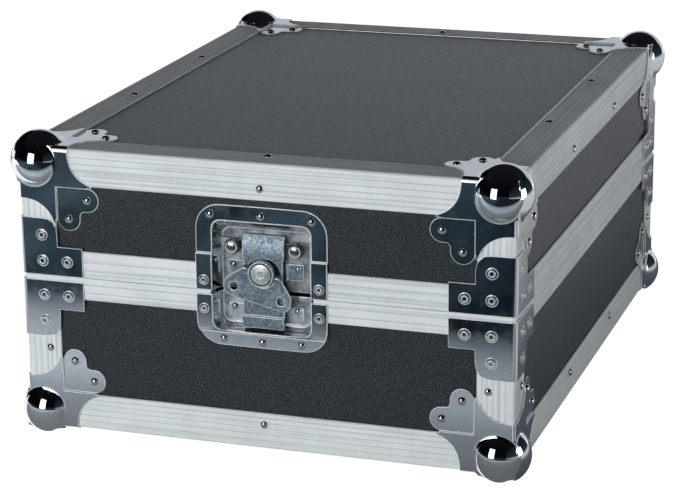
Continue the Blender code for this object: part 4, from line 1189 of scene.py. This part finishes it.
@dataclass
class Latch:
    """The recessed butterfly latch: dishes, keeper, bridge, hook plate, spindle, butterfly and springs."""

    dressed: DressedNodes
    rivets: Rivets
    case: CaseBox
    spindle_height: float = 0.0165
    turn: float = math.radians(14.0)
    head_radius: float = 0.0105
    head_front: float = 0.0024
    head_back: float = -0.0026
    neck_radius: float = 0.004
    cam_radius: float = 0.0118
    cam_drop: float = 0.0018
    cam_front: float = -0.0038
    cam_back: float = -0.0090
    tail_radius: float = 0.0027
    tail_end: float = -0.0117
    pin_depth: float = -0.0012
    pin_radius: float = 0.0012
    pin_half: float = 0.0155
    wing_front: float = -0.0010
    wing_back: float = -0.0026
    wing_span: float = 0.0283
    wing_top: float = 0.0012
    wing_drop: float = 0.0254
    bay_radius: float = 0.0113
    eye_radius: float = 0.0034
    eye_across: float = 0.020
    eye_drop: float = 0.0173
    knuckle_radius: float = 0.0022
    spring_across: float = 0.026
    spring_height: float = 0.035
    spring_wire: float = 0.0009
    spring_radius: float = 0.0058
    spring_front: float = 0.0053
    spring_back: float = 0.0108
    spring_turns: int = 3
    hook_side: float = 0.0176
    wall_side: float = 0.0354
    pan_floor: float = 0.008

    def local(self, across: float = 0.0, height: float = 0.0) -> Matrix:
        """A frame on the case's front: X across, Y up and Z out, from the parting line.

        Args:
            across: the frame's place across.
            height: its height over the parting line.

        Returns:
            The frame's matrix.
        """
        rows = ((1, 0, 0, across), (0, 0, -1, self.case.front), (0, 1, 0, self.case.parting + height),
                (0, 0, 0, 1))
        return Matrix(rows)

    def turned_frame(self) -> Matrix:
        """The butterfly's frame: the spindle's axis, turned as the butterfly rests."""
        return self.local(0.0, self.spindle_height) @ Matrix.Rotation(-self.turn, 4, "Z")

    def place(self, piece: bpy.types.Object, move: Matrix) -> bpy.types.Object:
        """Move a piece in its mesh.

        Args:
            piece: the piece, modelled about its own axis.
            move: where it goes.

        Returns:
            The piece.
        """
        piece.data.transform(move)
        return piece

    def dishes(self) -> None:
        """Copy the two dishes, with rounder edges, and set their rivets."""
        finishes = self.dressed.finishes
        for half, body in (("lid", Body.LID), ("base", Body.BASE)):
            node = f"latch_{half}_dish"
            dish = self.dressed.copy_of(node, f"dish_{half}", 0.0007, 3, True, (finishes.chrome, finishes.edge),
                                        False, True)
            # The pan floor takes the painted reflection.
            dish.data.materials.append(finishes.pan)
            for face in dish.data.polygons:
                if face.normal.y < -0.9 and face.center.y > self.case.front + self.pan_floor:
                    face.material_index = 2
            ride(dish, body, Slot.CHROME, node)
        solid_lid = [(-0.0415, 0.0615), (0.0415, 0.0615), (0.0, 0.0625)]
        solid_base = [(-0.032, -0.0387), (0.032, -0.0387), (0.0, -0.0395)]
        out = Vector((0, -1, 0))
        for name, body, solid, height in (("lid", Body.LID, solid_lid, 0.0084),
                                          ("base", Body.BASE, solid_base, -0.0148)):
            spots = [Spot(self.local(x, z) @ Vector((0, 0, -0.0003)), out) for x, z in solid]
            for side in (-1, 1):
                place = self.local(side * 0.0473, height) @ Vector((0, 0, 0.0015))
                spots.append(Spot(place, out, RivetKind.HOLLOW, 0.86))
            self.rivets.place_all(f"dish_rivets_{name}", body, spots)

    def fittings(self) -> None:
        """Copy the keeper, the bridge and the hook plate, and set the small rivets of the floor."""
        finishes = self.dressed.finishes
        # Each fitting takes its own copy of the zinc: painted light on the keeper, lighter shade on the bridge,
        # painted shade on the hook plate.
        for node, name, body, finish in (("latch_keeper", "keeper_strap", Body.BASE, finishes.pale),
                                         ("latch_spindle_bridge", "spindle_bridge", Body.LID, finishes.wing),
                                         ("latch_hook_plate", "hook_plate", Body.HOOK, finishes.hook)):
            piece = self.dressed.copy_of(node, name, 0.0005, 3, False, (finish, finishes.edge), False, True)
            ride(piece, body, Slot.ZINC, node)
        out = Vector((0, -1, 0))
        lid = [Spot(self.local(side * 0.0265, 0.0195) @ Vector((0, 0, -0.0107)), out, size=0.8)
               for side in (-1, 1)]
        lid += [Spot(self.local(side * self.spring_across, self.spring_height) @ Vector((0, 0, -0.0034)), out,
                     size=1.2, height=0.22) for side in (-1, 1)]
        base = [Spot(self.local(side * 0.026, -0.0146) @ Vector((0, 0, -0.0102)), out, size=0.8)
                for side in (-1, 1)]
        self.rivets.place_all("floor_rivets_lid", Body.LID, lid)
        self.rivets.place_all("floor_rivets_base", Body.BASE, base)

    def disc(self, name: str, radius: float, front: float, back: float, steps: int = 64) -> bpy.types.Object:
        """A round bar along Z between two depths.

        Args:
            name: its name.
            radius: its radius.
            front: its end nearer the viewer.
            back: its far end.
            steps: the steps round it.

        Returns:
            The bar.
        """
        return added(name, bpy.ops.mesh.primitive_cylinder_add, vertices=steps, radius=radius,
                     depth=front - back, location=(0, 0, (front + back) / 2))

    def spindle(self) -> None:
        """Model the spindle: a turned head with a rim, neck, cam, tail and cross pin."""
        finishes = self.dressed.finishes
        head = self.disc("spindle_head", self.head_radius, self.head_front, self.head_back)
        rings = ((0.0011, 0.0), (0.0002, -0.0008), (0.0009, 0.0), (0.0002, 0.0007), (0.0020, 0.00035),
                 (0.0030, 0.0002), (0.0008, -0.0004))

        def face_off() -> None:
            """Inset the head's front ring by ring."""
            pick_faces(lambda face: face.normal.z > 0.9)
            for inward, rise in rings:
                bpy.ops.mesh.inset(thickness=inward)
                bpy.ops.transform.translate(value=(0, 0, rise))

        shaped(head, face_off)
        neck = self.disc("spindle_neck", self.neck_radius, self.head_back + 0.0002, self.cam_back, 32)
        cam = self.disc("spindle_cam", self.cam_radius, self.cam_front, self.cam_back)
        self.place(cam, Matrix.Translation((0, -self.cam_drop, 0)))
        tail = self.disc("spindle_tail", self.tail_radius, self.cam_back, self.tail_end, 24)
        painted(head, finishes.pale, finishes.edge, finishes.recess_shade)
        for piece in (neck, cam, tail):
            painted(piece, finishes.oiled_and_shade)
        for piece in (head, neck, cam, tail):
            rounded_edges(piece, 0.00025, 2)
        # The groove inside the head's rim takes painted shade.
        for face in head.data.polygons:
            reach = math.hypot(face.center.x, face.center.y)
            if 0.0081 < reach < 0.0094 and 0.0 < face.center.z < self.head_front - 0.0003:
                face.material_index = 2
        for piece in (head, neck, cam, tail):
            self.place(piece, self.local(0.0, self.spindle_height))
        pin = painted(self.disc("cross_pin", self.pin_radius, self.pin_half, -self.pin_half, 20), finishes.pale)
        rounded_edges(pin, 0.0002, 2)
        along = self.turned_frame() @ Matrix.Translation((0, 0, self.pin_depth)) @ Matrix.Rotation(
            math.pi / 2, 4, "Y")
        self.place(pin, along)
        ride(joined("spindle_head", [head, pin]), Body.SPINDLE, Slot.ZINC, "latch_spindle")
        ride(joined("spindle_cam", [neck, cam, tail]), Body.SPINDLE, Slot.ZINC)

    def wing_plate(self) -> bpy.types.Object:
        """Model the butterfly's plate in its own frame.

        Returns:
            The plate, with its two eyes and the bay for the head.
        """
        depth = self.wing_front - self.wing_back
        wide, tall = 2 * self.wing_span, self.wing_top + self.wing_drop
        plate = added("butterfly_plate", bpy.ops.mesh.primitive_cube_add, size=1.0,
                      location=(0, self.wing_top - tall / 2, (self.wing_front + self.wing_back) / 2),
                      scale=(wide, tall, depth))
        span, middle = self.wing_span, self.wing_front

        def trim() -> None:
            """Cut the shoulders off, and round the wings' tips and feet."""
            for side in (-1, 1):
                cut_away((side * 0.0165, -0.0006, middle), (side * 0.0121, 0.0118, 0))
            pick_edges(lambda a, b: abs(a.z - b.z) > depth / 2 and abs(a.x) > span - 0.001
                       and a.y < -self.wing_drop + 0.001)
            bpy.ops.mesh.bevel(offset=0.0068, segments=8)
            pick_edges(lambda a, b: abs(a.z - b.z) > depth / 2 and abs(a.x) > span - 0.001 and a.y > -0.0135)
            bpy.ops.mesh.bevel(offset=0.003, segments=5)

        shaped(plate, trim)
        bay = self.disc("bay_tool", self.bay_radius, 0.01, -0.01)
        cut_out(plate, bay)
        for side in (-1, 1):
            eye = self.disc("eye_tool", self.eye_radius, 0.01, -0.01, 36)
            self.place(eye, Matrix.Translation((side * self.eye_across, -self.eye_drop, 0)))
            cut_out(plate, eye)
        painted(plate, self.dressed.finishes.wing, self.dressed.finishes.edge)
        rounded_edges(plate, 0.0006, 3, clamp=False)
        return plate

    def butterfly(self) -> None:
        """Model the folding butterfly: its plate, and the knuckles rolled round the cross pin."""
        plate = self.wing_plate()
        pieces = [plate]
        for side in (-1, 1):
            length = self.pin_half + 0.0003 - self.bay_radius
            knuckle = self.disc("wing_knuckle", self.knuckle_radius, length / 2, -length / 2, 28)
            painted(knuckle, self.dressed.finishes.wing)
            rounded_edges(knuckle, 0.0003, 2)
            move = Matrix.Translation((side * (self.bay_radius + length / 2), 0, self.pin_depth))
            self.place(knuckle, move @ Matrix.Rotation(math.pi / 2, 4, "Y"))
            pieces.append(knuckle)
        whole = self.place(joined("butterfly", pieces), self.turned_frame())
        ride(whole, Body.BUTTERFLY, Slot.ZINC, "latch_butterfly")

    def springs(self) -> None:
        """Wind the two wire springs round their posts."""
        for name, side in (("left", -1), ("right", 1)):
            curve = bpy.data.curves.new(f"spring_{name}", "CURVE")
            curve.dimensions = "3D"
            curve.bevel_depth = self.spring_wire / 2
            curve.bevel_resolution = 3
            curve.use_fill_caps = True
            points = self.spring_points(side)
            spline = curve.splines.new("POLY")
            spline.points.add(len(points) - 1)
            for point, place in zip(spline.points, points):
                point.co = (*place, 1.0)
            piece = bpy.data.objects.new(f"spring_{name}", curve)
            bpy.context.scene.collection.objects.link(piece)
            take(piece)
            bpy.ops.object.convert(target="MESH")
            bpy.ops.object.shade_smooth()
            dress(piece, Body.LID, Slot.ZINC, self.dressed.finishes.oiled_and_shade, f"latch_spring_{name}")

    def spring_points(self, side: int) -> list[Vector]:
        """The middle line of one spring, with smooth legs.

        Args:
            side: -1 for left, 1 for right.

        Returns:
            The points of the line.
        """
        top = self.spring_height + self.spring_radius
        first, last = self.spring_front, self.spring_back
        points = [(self.hook_side, first, top), ((self.hook_side + self.spring_across) / 2, first, top)]
        steps = 24 * self.spring_turns
        for step in range(steps + 1):
            angle = math.pi / 2 - math.tau * step / 24
            points.append((self.spring_across + self.spring_radius * math.cos(angle),
                           first + (last - first) * step / steps,
                           self.spring_height + self.spring_radius * math.sin(angle)))
        points += [((self.wall_side + self.spring_across) / 2, last, top), (self.wall_side, last, top)]
        return [Vector((side * across, self.case.front + depth, self.case.parting + height))
                for across, depth, height in points]

    def build(self) -> None:
        """Build the latch."""
        self.dishes()
        self.fittings()
        self.spindle()
        self.butterfly()
        self.springs()


@dataclass
class FoamLining:
    """The soft lining: a tray in the base and one in the lid, with softened edges."""

    finishes: Finishes
    voxel: float = 0.005
    softening: int = 8
    swell: float = 0.0011

    def build(self) -> None:
        """Soften a copy of each tray and let its faces waver a little, inwards only."""
        texture = bpy.data.textures.new("foam_waver", "CLOUDS")
        texture.noise_scale = 0.05
        for node, body in (("base_foam", Body.BASE), ("lid_foam", Body.LID)):
            piece = copied(frame["nodes"][node], f"{node}_lining", Matrix.Identity(4))
            shaped(
                piece,
                lambda: bpy.ops.mesh.select_all(action="SELECT"),
                lambda: bpy.ops.mesh.remove_doubles(threshold=0.00001),
            )
            applied(piece, "REMESH", mode="VOXEL", voxel_size=self.voxel, adaptivity=0.0)
            applied(piece, "SMOOTH", factor=0.5, iterations=self.softening)
            applied(piece, "DISPLACE", texture=texture, texture_coords="GLOBAL", strength=self.swell,
                    mid_level=1.0)
            take(piece)
            bpy.ops.object.shade_smooth()
            dress(piece, body, Slot.FOAM, self.finishes.foam, node)


@dataclass(frozen=True)
class Lamp:
    """A rectangular soft lamp: its place, its aim, its size and its power in watts."""

    name: str
    place: Place
    aim: Place
    size: tuple[float, float]
    power: float
    mirrored: bool = False


@dataclass
class Studio:
    """A pale floor, soft lamps, the cards that the chrome reflects, and the camera."""

    case: CaseBox
    lens: float = 126.495
    yaw: float = math.radians(18.4127)
    pitch: float = math.radians(16.7425)
    roll: float = math.radians(-0.5869)
    eye: Place = (0.61366, -1.91546, 0.70483)
    room: float = 3.2
    wide: float = 2.0
    tall: float = 2.0
    lamps: tuple[Lamp, ...] = (
        Lamp("soft_box_left", (-0.52, -1.68, 0.47), (0.0, -0.25, 0.20), (0.62, 1.05), 5.6, True),
        Lamp("soft_box_right", (1.50, -0.22, 0.34), (0.2, -0.20, 0.20), (0.50, 0.56), 3.4, True),
        Lamp("front_wash", (-0.30, -2.5, 0.36), (0.0, -0.25, 0.15), (1.8, 0.6), 29.0),
        Lamp("left_wash", (-2.4, 0.0, 0.40), (0.0, 0.0, 0.15), (1.4, 0.6), 10.0),
        Lamp("rear_wash", (0.2, 2.4, 0.40), (0.0, 0.25, 0.15), (1.4, 0.6), 10.0),
        Lamp("right_wash", (2.4, 0.3, 0.50), (0.2, 0.1, 0.20), (1.4, 0.6), 6.0),
    )

    def camera(self) -> None:
        """Set the camera where the photograph was taken from."""
        forward = Vector((-math.sin(self.yaw) * math.cos(self.pitch), math.cos(self.yaw) * math.cos(self.pitch),
                          -math.sin(self.pitch)))
        level = Vector((math.cos(self.yaw), math.sin(self.yaw), 0.0))
        upright = level.cross(forward)
        right = level * math.cos(self.roll) + upright * math.sin(self.roll)
        up = upright * math.cos(self.roll) - level * math.sin(self.roll)
        data = bpy.data.cameras.new("camera")
        data.lens = self.lens
        data.sensor_width = 36.0
        data.clip_start, data.clip_end = 0.05, 50.0
        camera = bpy.data.objects.new("camera", data)
        bpy.context.scene.collection.objects.link(camera)
        turn = Matrix((right, up, -forward)).transposed().to_4x4()
        camera.matrix_world = Matrix.Translation(Vector(self.eye)) @ turn
        bpy.context.scene.camera = camera

    def seen_or_mirrored(self, tree: bpy.types.NodeTree) -> bpy.types.NodeSocket:
        """Tell rays of the camera, of glossy and of clear surfaces from diffuse ones.

        Args:
            tree: the node tree to add to.

        Returns:
            1 for such a ray, otherwise 0.
        """
        path = tree.nodes.new("ShaderNodeLightPath")
        largest = path.outputs["Is Camera Ray"]
        for name in ("Is Glossy Ray", "Is Transmission Ray"):
            either = tree.nodes.new("ShaderNodeMath")
            either.operation = "MAXIMUM"
            tree.links.new(largest, either.inputs[0])
            tree.links.new(path.outputs[name], either.inputs[1])
            largest = either.outputs[0]
        return largest

    def world(self) -> None:
        """A white surround that lights the case only softly, and more from its sides than from above."""
        world = bpy.data.worlds.new("surround")
        bpy.context.scene.world = world
        world.use_nodes = True
        tree = world.node_tree
        soft = tree.nodes["Background"]
        soft.inputs["Strength"].default_value = 1.0
        facing = tree.nodes.new("ShaderNodeNewGeometry")
        parts = tree.nodes.new("ShaderNodeSeparateXYZ")
        height = tree.nodes.new("ShaderNodeMapRange")
        height.inputs["From Min"].default_value, height.inputs["From Max"].default_value = 0.0, -1.0
        ramp = tree.nodes.new("ShaderNodeValToRGB")
        tree.links.new(facing.outputs["Normal"], parts.inputs["Vector"])
        tree.links.new(parts.outputs["Z"], height.inputs["Value"])
        tree.links.new(height.outputs["Result"], ramp.inputs["Fac"])
        low, high = ramp.color_ramp.elements
        low.position, low.color = 0.15, (0.125, 0.128, 0.130, 1.0)
        high.position, high.color = 0.60, (0.020, 0.021, 0.022, 1.0)
        tree.links.new(ramp.outputs["Color"], soft.inputs["Color"])
        white = tree.nodes.new("ShaderNodeBackground")
        white.inputs["Color"].default_value = (1.0, 1.0, 1.0, 1.0)
        white.inputs["Strength"].default_value = 1.0
        mix = tree.nodes.new("ShaderNodeMixShader")
        tree.links.new(self.seen_or_mirrored(tree), mix.inputs["Fac"])
        tree.links.new(soft.outputs["Background"], mix.inputs[1])
        tree.links.new(white.outputs["Background"], mix.inputs[2])
        tree.links.new(mix.outputs["Shader"], tree.nodes["World Output"].inputs["Surface"])

    def floor(self) -> None:
        """A white floor that keeps the case's soft shadow and glows a little more away from it."""
        floor = added("floor", bpy.ops.mesh.primitive_plane_add, size=24.0)
        material = bpy.data.materials.new("pale_floor")
        material.use_nodes = True
        tree = material.node_tree
        tree.nodes.remove(tree.nodes["Principled BSDF"])
        paper = tree.nodes.new("ShaderNodeBsdfDiffuse")
        paper.inputs["Color"].default_value = (0.60, 0.60, 0.60, 1.0)
        glow = tree.nodes.new("ShaderNodeEmission")
        place = tree.nodes.new("ShaderNodeTexCoord")
        away = tree.nodes.new("ShaderNodeVectorMath")
        away.operation = "LENGTH"
        fade = tree.nodes.new("ShaderNodeMapRange")
        fade.inputs["From Min"].default_value, fade.inputs["From Max"].default_value = 1.3, 2.3
        fade.inputs["To Min"].default_value, fade.inputs["To Max"].default_value = 0.91, 1.0
        tree.links.new(place.outputs["Object"], away.inputs[0])
        tree.links.new(away.outputs["Value"], fade.inputs["Value"])
        tree.links.new(fade.outputs["Result"], glow.inputs["Strength"])
        dark = tree.nodes.new("ShaderNodeEmission")
        dark.inputs["Strength"].default_value = 0.0
        pick = tree.nodes.new("ShaderNodeMixShader")
        both = tree.nodes.new("ShaderNodeAddShader")
        tree.links.new(self.seen_or_mirrored(tree), pick.inputs["Fac"])
        tree.links.new(dark.outputs["Emission"], pick.inputs[1])
        tree.links.new(glow.outputs["Emission"], pick.inputs[2])
        tree.links.new(pick.outputs["Shader"], both.inputs[0])
        tree.links.new(paper.outputs["BSDF"], both.inputs[1])
        tree.links.new(both.outputs["Shader"], tree.nodes["Material Output"].inputs["Surface"])
        floor.data.materials.append(material)

    def band(self, tree: bpy.types.NodeTree, axis: str,
             stops: Sequence[tuple[float, Place]]) -> bpy.types.NodeSocket:
        """Shades that change along one axis of a card.

        Args:
            tree: the card's node tree.
            axis: X, Y or Z.
            stops: place along the axis in metres, and the colour there.

        Returns:
            The colour.
        """
        first, last = stops[0][0], stops[-1][0]
        place = tree.nodes.new("ShaderNodeTexCoord")
        parts = tree.nodes.new("ShaderNodeSeparateXYZ")
        reach = tree.nodes.new("ShaderNodeMapRange")
        ramp = tree.nodes.new("ShaderNodeValToRGB")
        tree.links.new(place.outputs["Object"], parts.inputs["Vector"])
        tree.links.new(parts.outputs[axis], reach.inputs["Value"])
        reach.inputs["From Min"].default_value = first
        reach.inputs["From Max"].default_value = last
        tree.links.new(reach.outputs["Result"], ramp.inputs["Fac"])
        elements = ramp.color_ramp.elements
        while len(elements) < len(stops):
            elements.new(0.5)
        for element, (level, shade) in zip(elements, stops):
            element.position = (level - first) / (last - first)
            element.color = (*shade, 1.0)
        return ramp.outputs["Color"]

    def cloudy(self, tree: bpy.types.NodeTree, glow: bpy.types.Node) -> None:
        """Let a card's strength vary in soft clouds.

        Args:
            tree: the card's node tree.
            glow: its emission.
        """
        place = tree.nodes.new("ShaderNodeTexCoord")
        spread = tree.nodes.new("ShaderNodeMapping")
        spread.inputs["Scale"].default_value = (11.0, 5.0, 5.0)
        cloud = tree.nodes.new("ShaderNodeTexNoise")
        cloud.inputs["Scale"].default_value = 1.0
        strength = tree.nodes.new("ShaderNodeMapRange")
        strength.inputs["From Min"].default_value, strength.inputs["From Max"].default_value = 0.3, 0.7
        strength.inputs["To Min"].default_value, strength.inputs["To Max"].default_value = 0.2, 1.8
        tree.links.new(place.outputs["Object"], spread.inputs["Vector"])
        tree.links.new(spread.outputs["Vector"], cloud.inputs["Vector"])
        tree.links.new(cloud.outputs["Fac"], strength.inputs["Value"])
        tree.links.new(strength.outputs["Result"], glow.inputs["Strength"])

    def card(self, name: str, corners: Sequence[Place], axis: str, stops: Sequence[tuple[float, Place]],
             across: Sequence[tuple[float, Place]] | None = None, clouds: bool = False) -> None:
        """A flat card that only mirrors see.

        Args:
            name: its name.
            corners: its corners in order.
            axis: the axis along which its shade changes.
            stops: place along the axis, and the colour there.
            across: the same along X, which multiplies it, or None.
            clouds: whether its strength varies in soft clouds.
        """
        mesh = bpy.data.meshes.new(name)
        mesh.from_pydata([tuple(corner) for corner in corners], [], [tuple(range(len(corners)))])
        card = bpy.data.objects.new(name, mesh)
        bpy.context.scene.collection.objects.link(card)
        material = bpy.data.materials.new(name)
        material.use_nodes = True
        tree = material.node_tree
        tree.nodes.remove(tree.nodes["Principled BSDF"])
        glow = tree.nodes.new("ShaderNodeEmission")
        if clouds:
            self.cloudy(tree, glow)
        colour = self.band(tree, axis, stops)
        if across:
            product = tree.nodes.new("ShaderNodeMix")
            product.data_type = "RGBA"
            product.blend_type = "MULTIPLY"
            product.inputs["Factor"].default_value = 1.0
            tree.links.new(colour, product.inputs["A"])
            tree.links.new(self.band(tree, "X", across), product.inputs["B"])
            colour = product.outputs["Result"]
        tree.links.new(colour, glow.inputs["Color"])
        tree.links.new(glow.outputs["Emission"], tree.nodes["Material Output"].inputs["Surface"])
        mesh.materials.append(material)
        card.visible_camera = False
        card.visible_diffuse = False
        card.visible_shadow = False
        card.visible_transmission = False

    def floor_cards(self) -> None:
        """Cards on the floor in front of the case and at its right."""
        front, right, low = self.case.front, self.case.right, 0.002
        self.card(
            "floor_near", [(-0.9, -0.61, low), (1.2, -0.61, low), (1.2, front, low), (-0.9, front, low)], "Y",
            [(-0.61, (0.06, 0.075, 0.09)), (-0.57, (0.19, 0.21, 0.23)), (-0.53, (0.28, 0.31, 0.34)),
             (-0.43, (0.38, 0.41, 0.44)), (-0.36, (0.22, 0.24, 0.26)), (front, (0.14, 0.15, 0.16))],
            [(-0.9, (1.5, 1.5, 1.5)), (-0.24, (1.35, 1.35, 1.35)), (-0.05, (1.0, 1.0, 1.0)),
             (0.3, (0.88, 0.88, 0.88))])
        self.card(
            "floor_far", [(-self.wide, -self.room, low), (self.wide, -self.room, low),
                          (self.wide, -0.61, low), (-self.wide, -0.61, low)], "X",
            [(-1.0, (0.05, 0.075, 0.09)), (-0.35, (0.035, 0.058, 0.075)), (-0.1, (0.026, 0.044, 0.057)),
             (0.05, (0.010, 0.018, 0.026)), (0.5, (0.010, 0.014, 0.019))], clouds=True)
        self.card(
            "floor_side", [(right, front, low), (self.wide, front, low), (self.wide, 2.6, low),
                           (right, 2.6, low)], "X",
            [(right, (0.06, 0.065, 0.08)), (0.28, (0.10, 0.105, 0.12)), (0.34, (0.24, 0.245, 0.25)),
             (0.42, (0.52, 0.53, 0.53)), (1.2, (0.60, 0.61, 0.61))])
        rear, grey = self.case.rear, (0.40, 0.42, 0.44)
        self.card(
            "floor_back", [(-self.wide, rear, low), (right, rear, low), (right, 2.6, low),
                           (-self.wide, 2.6, low)], "Y", [(rear, (0.12, 0.13, 0.14)), (0.6, grey), (2.6, grey)])

    def room_cards(self) -> None:
        """Dark walls in front and above, and a grey band behind."""
        wide, room, tall = self.wide, self.room, self.tall
        black, teal, grey = (0.002, 0.002, 0.003), (0.02, 0.03, 0.04), (0.50, 0.53, 0.56)
        self.card("front_wall", [(-wide, -room, 0.0), (wide, -room, 0.0), (wide, -room, tall),
                                 (-wide, -room, tall)], "Z", [(0.0, teal), (0.5, black), (tall, black)])
        self.card("left_wall", [(-wide, -room, 0.0), (-wide, -0.1, 0.0), (-wide, -0.1, tall),
                                (-wide, -room, tall)], "Z", [(0.0, teal), (0.3, black), (tall, black)])
        self.card("left_wall_high", [(-wide, -0.1, 0.45), (-wide, 2.6, 0.45), (-wide, 2.6, tall),
                                     (-wide, -0.1, tall)], "Z", [(0.45, teal), (0.6, black), (tall, black)])
        self.card("right_wall", [(wide, -room, 0.0), (wide, 2.6, 0.0), (wide, 2.6, tall),
                                 (wide, -room, tall)], "Z", [(0.0, grey), (0.25, teal), (tall, black)])
        self.card("ceiling", [(-wide, -room, tall), (wide, -room, tall), (wide, 2.6, tall),
                              (-wide, 2.6, tall)], "Y", [(-room, black), (2.6, (0.01, 0.01, 0.012))])
        self.card("back_wall", [(-2.8, 2.6, 0.35), (wide, 2.6, 0.35), (wide, 2.6, tall), (-2.8, 2.6, tall)],
                  "Z", [(0.35, grey), (1.45, grey), (1.75, black), (tall, black)])

    def light(self, lamp: Lamp) -> None:
        """Hang one lamp.

        Args:
            lamp: the lamp; one that isn't mirrored lights matt surfaces alone.
        """
        data = bpy.data.lights.new(lamp.name, "AREA")
        data.shape = "RECTANGLE"
        data.size, data.size_y = lamp.size
        data.energy = lamp.power
        hung = bpy.data.objects.new(lamp.name, data)
        bpy.context.scene.collection.objects.link(hung)
        hung.location = lamp.place
        hung.rotation_euler = (Vector(lamp.aim) - Vector(lamp.place)).to_track_quat("-Z", "Y").to_euler()
        hung.visible_camera = False
        hung.visible_glossy = lamp.mirrored

    def build(self) -> None:
        """Set the stage, the lamps and the camera."""
        bpy.context.scene.view_settings.view_transform = "Standard"
        self.camera()
        self.world()
        self.floor()
        self.floor_cards()
        self.room_cards()
        for lamp in self.lamps:
            self.light(lamp)


def main() -> None:
    """Build the case's looks in order."""
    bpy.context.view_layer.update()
    case = CaseBox.from_frame()
    log.info("outer planes: %s", case)
    studio = Studio(case)
    studio.build()
    finishes = Finishes()
    dressed = DressedNodes(finishes, case)
    dressed.build()
    BallCorners(dressed, case).build()
    rivets = Rivets(finishes, case)
    rivets.build()
    Latch(dressed, rivets, case).build()
    rivets.clear()
    FoamLining(finishes).build()


if __name__ == "__main__":
    main()
